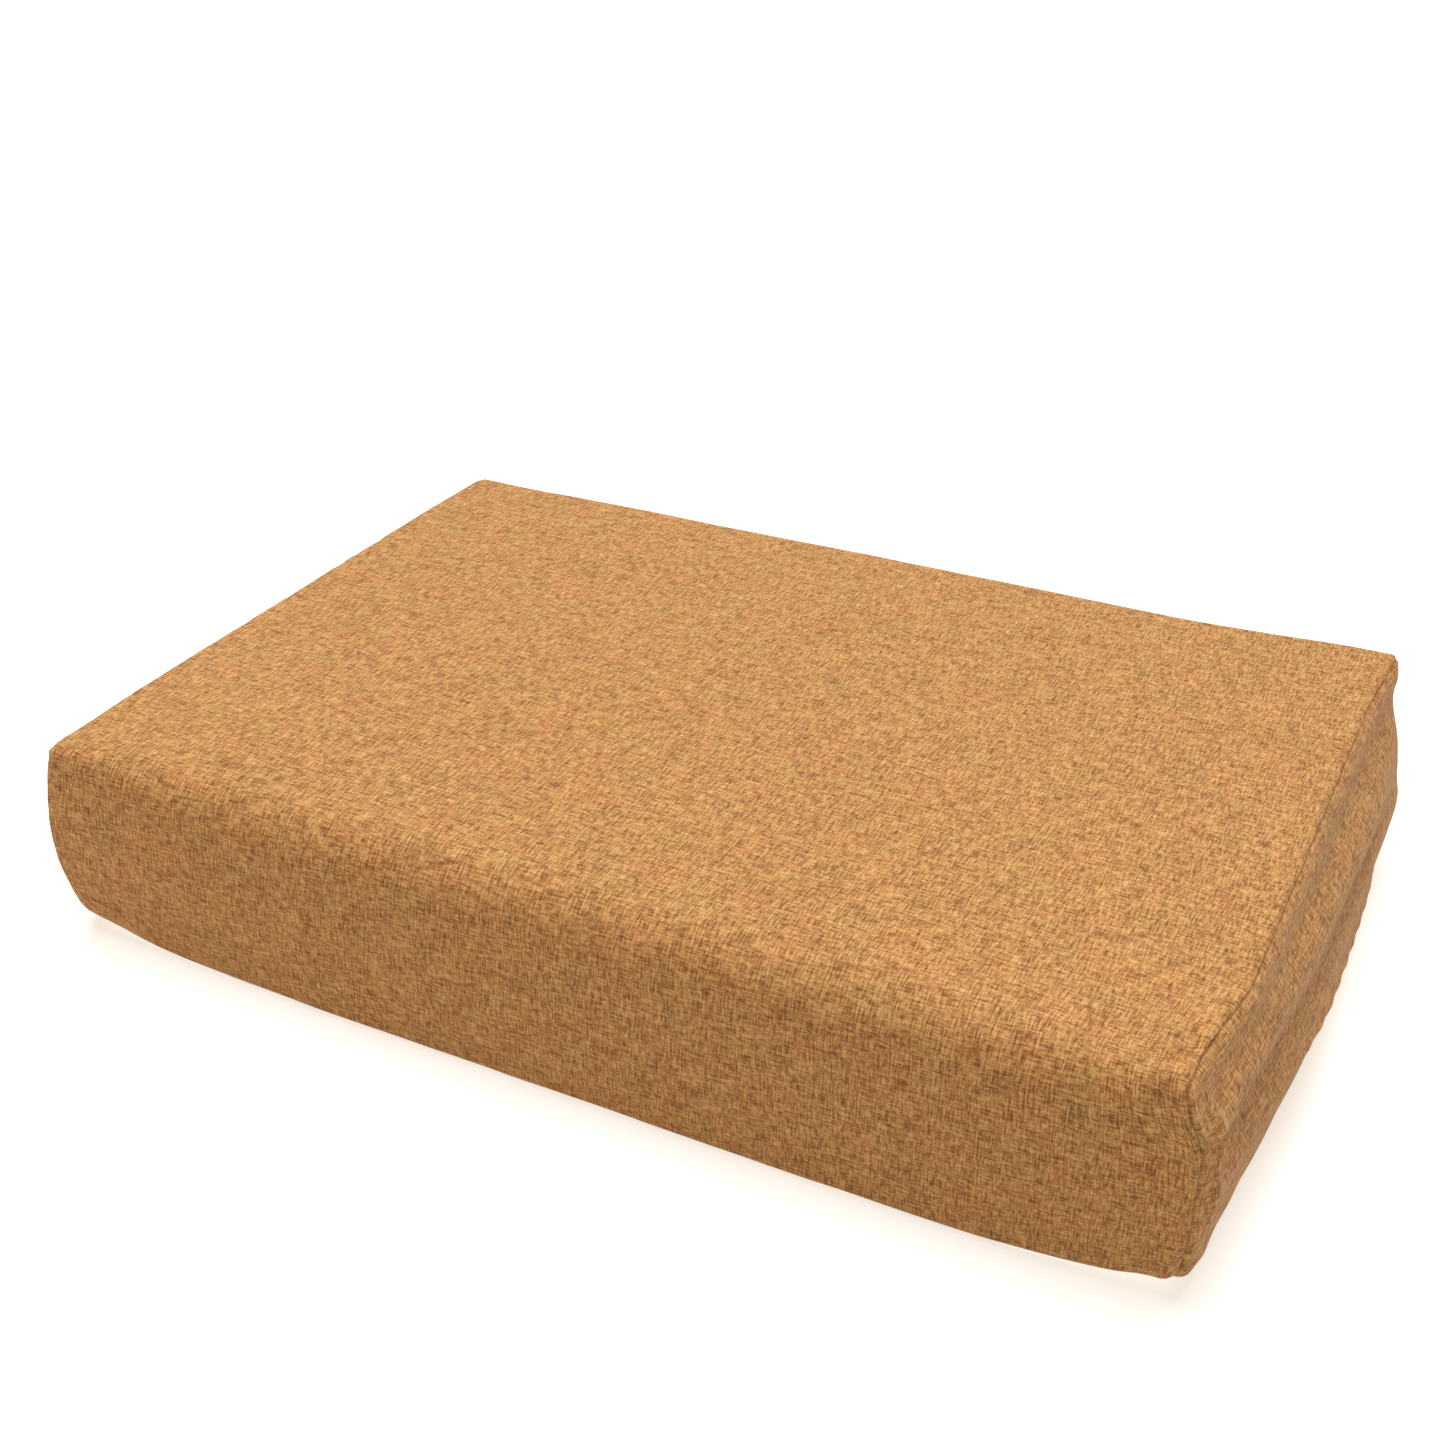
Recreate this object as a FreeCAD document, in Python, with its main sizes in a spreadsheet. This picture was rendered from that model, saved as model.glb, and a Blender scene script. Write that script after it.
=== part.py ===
import FreeCAD, Part
import os
import re
import Sketcher

# A washable pet cushion bed: two foam layers in a thin liner, inside a woven
# outer cover that closes with a coil zip across the back. Units are mm. The
# origin is the middle of the underside, +Z is up and the zip is on the +Y face.

doc = FreeCAD.newDocument("PetCushionBed")

# ---------------------------------------------------------------- driving sizes
DRIVING_SIZES = [
    # outer cover
    ("cover_length", 600.0),
    ("cover_depth", 420.0),
    ("cover_height", 112.0),
    ("front_roll_radius", 22.0),
    ("back_roll_radius", 18.0),
    ("cover_cloth", 1.0),
    ("base_cloth", 1.2),
    # liner and foam core
    ("liner_cloth", 0.5),
    ("liner_ease", 0.4),
    ("comfort_thickness", 40.0),
    # zip chain on the back face
    ("zip_height", 36.0),
    ("zip_inset", 30.0),
    ("zip_window", 12.0),
    ("tape_width", 14.0),
    ("tape_thickness", 0.6),
    ("tape_overrun", 10.0),
    ("coil_width", 2.2),
    ("coil_depth", 2.2),
    ("chain_split", 1.4),
    # slider and its pull tab
    ("run_clearance", 0.3),
    ("end_margin", 2.0),
    ("slider_length", 12.5),
    ("flange_wall", 1.3),
    ("plate_thickness", 1.3),
    ("shoe_thickness", 1.0),
    ("slider_corner", 2.0),
    ("wedge_length", 4.2),
    ("bridge_length", 6.6),
    ("bridge_width", 2.0),
    ("bridge_post", 1.1),
    ("bridge_roof", 0.9),
    ("pull_length", 32.0),
    ("pull_width", 7.0),
    ("pull_thickness", 1.4),
    ("pull_tip_radius", 2.5),
    ("eye_clearance", 0.5),
    # blank care label in the back corner seam
    ("label_length", 40.0),
    ("label_width", 20.0),
    ("label_thickness", 0.4),
    ("label_drop", 4.0),
]

sheet = doc.addObject("Spreadsheet::Sheet", "Sizes")
for row, (alias, size) in enumerate(DRIVING_SIZES, start=1):
    sheet.set(f"A{row}", alias)
    sheet.set(f"B{row}", str(size))
    sheet.setAlias(f"B{row}", alias)
doc.recompute()

ALIASES = {alias for alias, _ in DRIVING_SIZES}


def bound(expression):
    """The same expression with each driving size named as its cell in the sheet."""

    def cell(match):
        word = match.group(0)
        return f"Sizes.{word}" if word in ALIASES else word

    return re.sub(r"[a-z][a-z_]*", cell, expression)


def value_of(expression):
    return float(sheet.evalExpression(bound(expression)))


# ------------------------------------------------------------ places shared by pieces
END_FACE = "(cover_length / 2)"
END_INSIDE = "(cover_length / 2 - cover_cloth)"
BACK_FACE = "(cover_depth / 2)"
BACK_INSIDE = "(cover_depth / 2 - cover_cloth)"

# The zip stops short of both end panels, and the cloth is whole past its ends.
ZIP_END = "(cover_length / 2 - zip_inset)"
COIL_INNER = "(chain_split / 2)"
COIL_OUTER = "(chain_split / 2 + coil_width)"
COIL_TOP = f"({BACK_INSIDE} + coil_depth)"
TAPE_BACK = f"({BACK_INSIDE} - tape_thickness)"

SLIDER_X = f"({ZIP_END} - end_margin - slider_length / 2)"
CHANNEL = f"({COIL_OUTER} + run_clearance)"
SLIDER_HALF = f"({CHANNEL} + flange_wall)"
PLATE_UNDER = f"({COIL_TOP} + run_clearance)"
PLATE_TOP = f"({PLATE_UNDER} + plate_thickness)"
SHOE_TOP = f"({TAPE_BACK} - run_clearance)"
SHOE_UNDER = f"({SHOE_TOP} - shoe_thickness)"
PULL_AXIS_Y = f"({PLATE_TOP} + run_clearance + pull_thickness / 2)"
ROOF_UNDER = f"({PULL_AXIS_Y} + pull_thickness / 2 + run_clearance)"
ROOF_TOP = f"({ROOF_UNDER} + bridge_roof)"
# The eye is long enough for the bridge's corners to pass through as the tab turns.
EYE_REACH = "(bridge_length / 2 + 3 * eye_clearance)"

# The label hangs below the slider's path.
LABEL_TOP = f"(zip_height - {SLIDER_HALF} - label_drop)"

# The liner stands clear of the slider's inner shoe, which runs behind the zip tape.
LINER_END = f"({END_INSIDE} - liner_ease)"
LINER_FRONT = "(0 - cover_depth / 2 + cover_cloth + liner_ease)"
LINER_BACK = f"({SHOE_UNDER} - liner_ease)"
LINER_TOP = "(cover_height - cover_cloth - liner_ease)"
FOAM_END = f"({LINER_END} - liner_cloth)"
FOAM_FRONT = f"({LINER_FRONT} + liner_cloth)"
FOAM_BACK = f"({LINER_BACK} - liner_cloth)"
FOAM_TOP = f"({LINER_TOP} - liner_cloth)"
FOAM_UNDER = "(base_cloth + liner_cloth)"
FOAM_SPLIT = f"({FOAM_TOP} - comfort_thickness)"

LINER_FRONT_ROLL = "(front_roll_radius - cover_cloth - liner_ease)"
LINER_BACK_ROLL = "(back_roll_radius - cover_cloth - liner_ease)"


# --------------------------------------------------------------------- modelling tools
ORIGIN_POINT = (-1, 1)
START, END, CENTRE = 1, 2, 3


def new_body(label):
    body = doc.addObject("PartDesign::Body", label)
    body.Label = label
    return body


def sketch_on(body, role, offset):
    """A sketch on one of the body's own origin planes, moved along its normal."""
    plane = next(f for f in body.Origin.OriginFeatures if f.Role == role)
    sketch = body.newObject("Sketcher::SketchObject", body.Label + "_sketch")
    sketch.AttachmentSupport = [(plane, "")]
    sketch.MapMode = "FlatFace"
    sketch.setExpression("AttachmentOffset.Base.z", bound(offset))
    return sketch


def bind(sketch, constraint, expression):
    """Add a constraint whose value follows the sheet."""
    index = sketch.addConstraint(constraint)
    sketch.setExpression(f"Constraints[{index}]", bound(expression))


def draw_outline(sketch, corners):
    """Draw a closed outline of upright and level lines through (x, y, radius) corners.

    Each line is held by one distance from the origin, and each corner with a
    radius becomes a tangent arc, so the sketch is fully constrained.
    """
    count = len(corners)
    at = [FreeCAD.Vector(value_of(x), value_of(y), 0) for x, y, _ in corners]
    radii = [value_of(radius) if radius else 0.0 for _, _, radius in corners]
    lines = []
    for i in range(count):
        first, last = at[i], at[(i + 1) % count]
        along = (last - first).normalize()
        first = first + along * radii[i]
        last = last - along * radii[(i + 1) % count]
        line = sketch.addGeometry(Part.LineSegment(first, last))
        lines.append(line)
        upright = abs(along.x) < abs(along.y)
        sketch.addConstraint(Sketcher.Constraint("Vertical" if upright else "Horizontal", line))
        kind = "DistanceX" if upright else "DistanceY"
        place = corners[i][0] if upright else corners[i][1]
        distance = Sketcher.Constraint(kind, *ORIGIN_POINT, line, START, value_of(place))
        bind(sketch, distance, place)
    for i in range(count):
        before, after = lines[i - 1], lines[i]
        if not radii[i]:
            sketch.addConstraint(Sketcher.Constraint("Coincident", before, END, after, START))
            continue
        add_corner_arc(sketch, before, after, radii[i], corners[i][2])


def add_corner_arc(sketch, before, after, radius, expression):
    """Round the corner between two lines with an arc tangent to both."""
    one, two = sketch.Geometry[before], sketch.Geometry[after]
    into = (one.EndPoint - one.StartPoint).normalize()
    out = (two.EndPoint - two.StartPoint).normalize()
    centre = one.EndPoint + out * radius
    middle = centre + (into - out).normalize() * radius
    arc = sketch.addGeometry(Part.Arc(one.EndPoint, middle, two.StartPoint))
    turns_left = into.cross(out).z > 0
    first, last = (START, END) if turns_left else (END, START)
    sketch.addConstraint(Sketcher.Constraint("Tangent", before, END, arc, first))
    sketch.addConstraint(Sketcher.Constraint("Tangent", after, START, arc, last))
    bind(sketch, Sketcher.Constraint("Radius", arc, radius), expression)


def rectangle(low_x, low_y, high_x, high_y, radius=None):
    return [
        (low_x, low_y, radius),
        (high_x, low_y, radius),
        (high_x, high_y, radius),
        (low_x, high_y, radius),
    ]


def pad(body, role, offset, corners, length):
    """Raise an outline from a plane, along the plane's normal."""
    sketch = sketch_on(body, role, offset)
    draw_outline(sketch, corners)
    feature = body.newObject("PartDesign::Pad", body.Label + "_pad")
    feature.Profile = sketch
    feature.setExpression("Length", bound(length))
    doc.recompute()
    return feature


def pocket(body, role, offset, corners, length):
    """Cut an outline from a plane, against the plane's normal, and see that it cut."""
    before = body.Shape.Volume
    sketch = sketch_on(body, role, offset)
    draw_outline(sketch, corners)
    feature = body.newObject("PartDesign::Pocket", body.Label + "_pocket")
    feature.Profile = sketch
    feature.setExpression("Length", bound(length))
    doc.recompute()
    if body.Shape.Volume >= before:
        raise RuntimeError(f"{body.Label}: the pocket removed nothing")
    return feature


def round_bar(body, x, y, radius, low_z, length):
    """Add an upright round bar."""
    sketch = sketch_on(body, "XY_Plane", low_z)
    centre = FreeCAD.Vector(value_of(x), value_of(y), 0)
    upwards = FreeCAD.Vector(0, 0, 1)
    circle = sketch.addGeometry(Part.Circle(centre, upwards, value_of(radius)))
    for kind, place in (("DistanceX", x), ("DistanceY", y)):
        distance = Sketcher.Constraint(kind, *ORIGIN_POINT, circle, CENTRE, value_of(place))
        bind(sketch, distance, place)
    bind(sketch, Sketcher.Constraint("Radius", circle, value_of(radius)), radius)
    feature = body.newObject("PartDesign::Pad", body.Label + "_bar")
    feature.Profile = sketch
    feature.setExpression("Length", bound(length))
    doc.recompute()
    return feature


# ---------------------------------------------------------------------- outer cover
def build_cover_wrap_panel():
    """Front, top and back in one length of cloth, down to the zip."""
    body = new_body("cover_wrap_panel")
    front, back = "(0 - cover_depth / 2)", BACK_FACE
    inner_front, inner_back = "(0 - cover_depth / 2 + cover_cloth)", BACK_INSIDE
    top, inner_top = "cover_height", "(cover_height - cover_cloth)"
    section = [
        (front, "base_cloth", None),
        (inner_front, "base_cloth", None),
        (inner_front, inner_top, "front_roll_radius - cover_cloth"),
        (inner_back, inner_top, "back_roll_radius - cover_cloth"),
        (inner_back, "zip_height", None),
        (back, "zip_height", None),
        (back, top, "back_roll_radius"),
        (front, top, "front_roll_radius"),
    ]
    pad(body, "YZ_Plane", f"0 - {END_INSIDE}", section, f"2 * {END_INSIDE}")
    cut_zip_window(body, "zip_height - cover_cloth", "zip_height + zip_window / 2")
    return body


def build_cover_back_strip():
    """The lower part of the back, from the base seam up to the zip."""
    body = new_body("cover_back_strip")
    section = rectangle(BACK_INSIDE, "base_cloth", BACK_FACE, "zip_height")
    pad(body, "YZ_Plane", f"0 - {END_INSIDE}", section, f"2 * {END_INSIDE}")
    cut_zip_window(body, "zip_height - zip_window / 2", "zip_height + cover_cloth")
    return body


def cut_zip_window(body, low, high):
    """Open the cloth along the zip chain; the cloth stays whole past its two ends."""
    window = rectangle(f"{BACK_INSIDE} - cover_cloth", low, f"{BACK_FACE} + cover_cloth", high)
    pocket(body, "YZ_Plane", ZIP_END, window, f"2 * {ZIP_END}")


def build_cover_side(label, low_x):
    """An end panel with the rolled corners of the wrap panel that is sewn round it."""
    body = new_body(label)
    front = "(0 - cover_depth / 2)"
    section = [
        (front, "base_cloth", None),
        (BACK_FACE, "base_cloth", None),
        (BACK_FACE, "cover_height", "back_roll_radius"),
        (front, "cover_height", "front_roll_radius"),
    ]
    pad(body, "YZ_Plane", low_x, section, "cover_cloth")
    return body


def build_cover_base_panel():
    """The pale underside that the bed rests on."""
    body = new_body("cover_base_panel")
    front = "(0 - cover_depth / 2)"
    underside = rectangle(f"0 - {END_FACE}", front, END_FACE, BACK_FACE)
    pad(body, "XY_Plane", "0", underside, "base_cloth")
    return body


def build_care_label():
    """A blank woven label caught in the back corner seam, lying on the back strip."""
    body = new_body("care_label")
    section = rectangle(
        BACK_FACE,
        f"{LABEL_TOP} - label_width",
        f"{BACK_FACE} + label_thickness",
        LABEL_TOP,
    )
    pad(body, "YZ_Plane", f"{END_INSIDE} - label_length", section, "label_length")
    return body


# ------------------------------------------------------------------ liner and foam core
def rolled_section(front, back, under, top, inset):
    """A cross-section inside the cover, with its top corners inset from the liner's."""
    return [
        (front, under, None),
        (back, under, None),
        (back, top, f"{LINER_BACK_ROLL} - {inset}"),
        (front, top, f"{LINER_FRONT_ROLL} - {inset}"),
    ]


def build_liner_wrap():
    """The liner's tube of thin cloth, closed round the foam on four sides."""
    body = new_body("liner_wrap")
    outside = rolled_section(LINER_FRONT, LINER_BACK, "base_cloth", LINER_TOP, "0")
    inside = rolled_section(FOAM_FRONT, FOAM_BACK, FOAM_UNDER, FOAM_TOP, "liner_cloth")
    pad(body, "YZ_Plane", f"0 - {FOAM_END}", outside, f"2 * {FOAM_END}")
    pocket(body, "YZ_Plane", FOAM_END, inside, f"2 * {FOAM_END}")
    return body


def build_liner_end(label, low_x):
    body = new_body(label)
    section = rolled_section(LINER_FRONT, LINER_BACK, "base_cloth", LINER_TOP, "0")
    pad(body, "YZ_Plane", low_x, section, "liner_cloth")
    return body


def build_support_foam():
    """The firm lower block."""
    body = new_body("support_foam")
    section = rectangle(FOAM_FRONT, FOAM_UNDER, FOAM_BACK, FOAM_SPLIT)
    pad(body, "YZ_Plane", f"0 - {FOAM_END}", section, f"2 * {FOAM_END}")
    return body


def build_comfort_foam():
    """The soft upper layer, with the rolled front and back edges of the bed."""
    body = new_body("comfort_foam")
    section = rolled_section(FOAM_FRONT, FOAM_BACK, FOAM_SPLIT, FOAM_TOP, "liner_cloth")
    pad(body, "YZ_Plane", f"0 - {FOAM_END}", section, f"2 * {FOAM_END}")
    return body


# ------------------------------------------------------------------------------- zip
def zip_half(inner, outer, side):
    """Low and high height of a strip on the upper (+1) or lower (-1) side of the zip."""
    if side > 0:
        return f"zip_height + {inner}", f"zip_height + {outer}"
    return f"zip_height - {outer}", f"zip_height - {inner}"


def build_zip_tape(label, side):
    """A woven tape sewn behind the cloth, standing proud of the window's ends."""
    body = new_body(label)
    low, high = zip_half(COIL_INNER, f"({COIL_INNER} + tape_width)", side)
    section = rectangle(TAPE_BACK, low, BACK_INSIDE, high)
    half = f"({ZIP_END} + tape_overrun)"
    pad(body, "YZ_Plane", f"0 - {half}", section, f"2 * {half}")
    return body


def build_zip_coil(label, side):
    """One half of the coil chain, as the plain bar that the slider's channel clears."""
    body = new_body(label)
    low, high = zip_half(COIL_INNER, COIL_OUTER, side)
    section = rectangle(BACK_INSIDE, low, COIL_TOP, high)
    pad(body, "YZ_Plane", f"0 - {ZIP_END}", section, f"2 * {ZIP_END}")
    return body


def build_zip_slider():
    """Face plate, two flanges, inner shoe, the wedge that parts the chain, and a bridge."""
    body = new_body("zip_slider")
    low_x = f"{SLIDER_X} - slider_length / 2"
    high_x = f"{SLIDER_X} + slider_length / 2"
    low_z = f"zip_height - {SLIDER_HALF}"
    high_z = f"zip_height + {SLIDER_HALF}"
    plate = rectangle(low_x, low_z, high_x, high_z, "slider_corner")

    # On the XZ plane the normal is -Y, so a pad grows inwards from its outer face.
    pad(body, "XZ_Plane", f"0 - {PLATE_TOP}", plate, "plate_thickness")
    flange_low_x = f"{low_x} + slider_corner"
    flange_high_x = f"{high_x} - slider_corner"
    flange_depth = f"{PLATE_UNDER} - {BACK_INSIDE} - run_clearance"
    for side in (1, -1):
        low, high = zip_half(CHANNEL, SLIDER_HALF, side)
        flange = rectangle(flange_low_x, low, flange_high_x, high)
        pad(body, "XZ_Plane", f"0 - {PLATE_UNDER}", flange, flange_depth)

    half_wedge = "(chain_split / 2 - run_clearance)"
    wedge = rectangle(
        f"{flange_high_x} - wedge_length",
        f"zip_height - {half_wedge}",
        flange_high_x,
        f"zip_height + {half_wedge}",
    )
    pad(body, "XZ_Plane", f"0 - {PLATE_UNDER}", wedge, f"{PLATE_UNDER} - {SHOE_TOP}")
    pad(body, "XZ_Plane", f"0 - {SHOE_TOP}", plate, "shoe_thickness")

    outer_low, outer_high = f"{SLIDER_X} - bridge_length / 2", f"{SLIDER_X} + bridge_length / 2"
    inner_low, inner_high = f"{outer_low} + bridge_post", f"{outer_high} - bridge_post"
    bridge = [
        (outer_low, PLATE_TOP, None),
        (inner_low, PLATE_TOP, None),
        (inner_low, ROOF_UNDER, "bridge_roof / 2"),
        (inner_high, ROOF_UNDER, "bridge_roof / 2"),
        (inner_high, PLATE_TOP, None),
        (outer_high, PLATE_TOP, None),
        (outer_high, ROOF_TOP, "bridge_roof"),
        (outer_low, ROOF_TOP, "bridge_roof"),
    ]
    pad(body, "XY_Plane", "zip_height - bridge_width / 2", bridge, "bridge_width")
    return body


def build_zip_pull_tab():
    """A flat tab whose round end bar turns under the slider's bridge."""
    body = new_body("zip_pull_tab")
    low_z, high_z = "zip_height - pull_width / 2", "zip_height + pull_width / 2"
    outer_y = f"{PULL_AXIS_Y} + pull_thickness / 2"
    blade = [
        (SLIDER_X, low_z, None),
        (f"{SLIDER_X} + pull_length", low_z, "pull_tip_radius"),
        (f"{SLIDER_X} + pull_length", high_z, "pull_tip_radius"),
        (SLIDER_X, high_z, None),
    ]
    pad(body, "XZ_Plane", f"0 - ({outer_y})", blade, "pull_thickness")

    eye_half = "(bridge_width / 2 + eye_clearance)"
    eye = rectangle(
        f"{SLIDER_X} - pull_thickness",
        f"zip_height - {eye_half}",
        f"{SLIDER_X} + {EYE_REACH}",
        f"zip_height + {eye_half}",
    )
    # A pocket on the XZ plane cuts towards +Y, so it starts behind the blade.
    pocket(body, "XZ_Plane", f"0 - ({outer_y} - 2 * pull_thickness)", eye, "3 * pull_thickness")
    round_bar(body, SLIDER_X, PULL_AXIS_Y, "pull_thickness / 2", low_z, "pull_width")
    return body


# ------------------------------------------------------------------ build and write out
PIECES = [
    build_cover_wrap_panel(),
    build_cover_back_strip(),
    build_cover_side("cover_side_left", f"0 - {END_FACE}"),
    build_cover_side("cover_side_right", END_INSIDE),
    build_cover_base_panel(),
    build_care_label(),
    build_liner_wrap(),
    build_liner_end("liner_end_left", f"0 - {LINER_END}"),
    build_liner_end("liner_end_right", FOAM_END),
    build_support_foam(),
    build_comfort_foam(),
    build_zip_tape("zip_tape_upper", 1),
    build_zip_tape("zip_tape_lower", -1),
    build_zip_coil("zip_coil_upper", 1),
    build_zip_coil("zip_coil_lower", -1),
    build_zip_slider(),
    build_zip_pull_tab(),
]

doc.recompute()
for item in doc.Objects:
    if "Invalid" in item.State or "Error" in item.State:
        raise RuntimeError(f"{item.Label} did not recompute: {item.State}")

os.makedirs("parts", exist_ok=True)
for piece in PIECES:
    shape = piece.Shape
    if shape.isNull() or not shape.isValid() or len(shape.Solids) != 1:
        raise RuntimeError(f"{piece.Label} is not one valid solid")
    shape.exportStep(f"parts/{piece.Label}.step")
    box = shape.BoundBox
    print(
        f"{piece.Label}: {shape.Volume:.1f} mm3, "
        f"x {box.XMin:.2f}..{box.XMax:.2f}, "
        f"y {box.YMin:.2f}..{box.YMax:.2f}, "
        f"z {box.ZMin:.2f}..{box.ZMax:.2f}"
    )
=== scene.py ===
import math

import bmesh
import bpy
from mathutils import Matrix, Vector, noise


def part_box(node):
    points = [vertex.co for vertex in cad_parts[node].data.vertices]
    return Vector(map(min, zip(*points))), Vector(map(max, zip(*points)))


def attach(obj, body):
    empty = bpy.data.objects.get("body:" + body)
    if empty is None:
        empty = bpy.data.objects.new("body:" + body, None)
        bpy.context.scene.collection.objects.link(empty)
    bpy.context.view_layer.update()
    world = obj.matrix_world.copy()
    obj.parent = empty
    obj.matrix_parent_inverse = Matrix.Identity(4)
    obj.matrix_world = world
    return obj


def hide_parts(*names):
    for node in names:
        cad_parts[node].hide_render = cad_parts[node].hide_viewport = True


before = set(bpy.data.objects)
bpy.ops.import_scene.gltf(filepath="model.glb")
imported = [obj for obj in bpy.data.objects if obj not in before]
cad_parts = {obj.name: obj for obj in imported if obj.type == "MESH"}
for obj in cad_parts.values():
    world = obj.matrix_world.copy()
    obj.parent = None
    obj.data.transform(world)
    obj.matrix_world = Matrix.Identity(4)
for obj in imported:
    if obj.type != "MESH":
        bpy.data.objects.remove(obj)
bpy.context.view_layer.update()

bl_info = {
    "name": "Pet Cushion Bed",
    "version": (1, 0, 0),
    "blender": (4, 5, 0),
    "location": "View3D > Sidebar > Pet Bed",
    "description": "Builds the cloth, foam and zip of a washable pet cushion bed round its frame",
    "category": "Add Mesh",
}

MM = 0.001


# ---- places from the frame
def corners(node):
    return tuple(Vector(corner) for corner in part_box(node))


BASE_LOW, BASE_HIGH = corners("cover_base_panel")
WRAP_LOW, WRAP_HIGH = corners("cover_wrap_panel")
LINER_LOW, LINER_HIGH = corners("liner_wrap")
LABEL_LOW, LABEL_HIGH = corners("care_label")

HALF_LENGTH = BASE_HIGH.x
HALF_DEPTH = BASE_HIGH.y
TOP = WRAP_HIGH.z
CLOTH = WRAP_LOW.z - BASE_LOW.z
ZIP_HEIGHT = corners("cover_back_strip")[1].z
ZIP_HALF = corners("zip_coil_upper")[1].x


# ---- settings
def length_setting(name, description, default):
    return bpy.props.FloatProperty(
        name=name, description=description, default=default, unit="LENGTH"
    )


def angle_setting(name, description, default):
    return bpy.props.FloatProperty(
        name=name, description=description, default=default, subtype="ANGLE"
    )


def colour_setting(name, description, default):
    return bpy.props.StringProperty(name=name, description=description, default=default)


class PetBedShape(bpy.types.PropertyGroup):
    front_roll: length_setting(
        "Front roll", "Radius of the edge where the top rolls over into the front", 22 * MM
    )
    back_roll: length_setting(
        "Back roll", "Radius of the edge where the top rolls over into the back", 18 * MM
    )
    crown: length_setting("Crown", "How far the top stands above its seams", 1.5 * MM)
    front_belly: length_setting(
        "Front belly", "How far the front face stands out at half height", 3.5 * MM
    )
    back_belly: length_setting(
        "Back belly", "How far the back face stands out above the zip", 2.5 * MM
    )
    left_belly: length_setting(
        "Left belly", "How far the left end's seams stand out at half height", 8 * MM
    )
    right_belly: length_setting(
        "Right belly", "How far the right end's seams stand out at half height", 2.5 * MM
    )
    left_fullness: length_setting(
        "Left fullness", "How far the left end panel is blown out before it settles", 7 * MM
    )
    right_fullness: length_setting(
        "Right fullness", "How far the right end panel is blown out before it settles", 17 * MM
    )


class PetBedCloth(bpy.types.PropertyGroup):
    grid: length_setting("Wrap grid", "Spacing of the wrap panel's grid", 3.4 * MM)
    end_grid: length_setting(
        "End panel grid", "Spacing of the end panels' grid before subdivision", 2.9 * MM
    )
    thickness: length_setting("Cloth thickness", "Thickness of the woven cover cloth", 0.9 * MM)
    seam_depth: length_setting(
        "Seam depth", "How deep the stitches draw a seam into the cover", 2.4 * MM
    )
    seam_turn: length_setting(
        "Seam allowance", "Cloth turned inside along each sewn edge", 2.4 * MM
    )
    zip_window: length_setting(
        "Zip window", "Height of the gap in the cloth that shows the zip", 12 * MM
    )
    stitch_pitch: length_setting(
        "Stitch pitch", "Distance between topstitches along the zip", 3.2 * MM
    )
    tooth_pitch: length_setting(
        "Tooth pitch", "Distance between turns of the zip's nylon coil", 1.27 * MM
    )


class PetBedColours(bpy.types.PropertyGroup):
    cloth_light: colour_setting("Light yarn", "Palest slub yarn, sRGB hex", "CB9A62")
    cloth_mid: colour_setting("Ground yarn", "Main golden-brown yarn, sRGB hex", "A77542")
    cloth_dark: colour_setting("Dark yarn", "Darkest slub yarn, sRGB hex", "734722")
    zip_brown: colour_setting("Zip brown", "Brown of the zip's tapes and coil, sRGB hex", "7A5530")


class PetBedStudio(bpy.types.PropertyGroup):
    azimuth: angle_setting(
        "Azimuth", "Camera angle round the bed from its front", math.radians(26.70)
    )
    elevation: angle_setting("Elevation", "Camera angle above the floor", math.radians(29.71))
    distance: length_setting("Distance", "From the camera to the aim point", 1.0619)
    aim_right: length_setting(
        "Aim right", "Aim point to the right of the bed's base centre, in the view", -0.0151
    )
    aim_up: length_setting("Aim up", "Aim point above the bed's base centre, in the view", 0.0837)
    lens: bpy.props.FloatProperty(
        name="Lens", description="Focal length for a 36 mm wide sensor, in millimetres",
        default=46.59, unit="CAMERA",
    )


# ---- small maths
def ramp(value, start, end):
    """0 before start, 1 after end, and a smooth rise between them."""
    share = min(max((value - start) / (end - start), 0.0), 1.0)
    return share * share * (3 - 2 * share)


def arch(value, low, high):
    """A half wave between two values, and 0 outside them."""
    share = min(max((value - low) / (high - low), 0.0), 1.0)
    return math.sin(math.pi * share)


def hump(distance, width):
    """A bell curve: 1 at no distance, and near 0 past two widths."""
    return math.exp(-((distance / width) ** 2))


def wander(*place):
    """Smooth, repeatable unevenness between about -1 and 1."""
    return noise.noise(Vector(place))


def linear(hex_colour):
    """An sRGB hex colour as linear RGBA."""
    channels = [int(hex_colour[i:i + 2], 16) / 255 for i in (0, 2, 4)]
    curve = [c / 12.92 if c <= 0.04045 else ((c + 0.055) / 1.055) ** 2.4 for c in channels]
    return (*curve, 1.0)


# ---- material node tools
def add_node(tree, kind, settings=None, inputs=None):
    """Add a node; an input given as a socket is linked, and any other is set."""
    node = tree.nodes.new(kind)
    for name, value in (settings or {}).items():
        setattr(node, name, value)
    for name, value in (inputs or {}).items():
        if isinstance(value, bpy.types.NodeSocket):
            tree.links.new(value, node.inputs[name])
        else:
            node.inputs[name].default_value = value
    return node


def new_material(name):
    material = bpy.data.materials.new(name)
    material.use_nodes = True
    material.node_tree.nodes.clear()
    return material, material.node_tree


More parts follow.
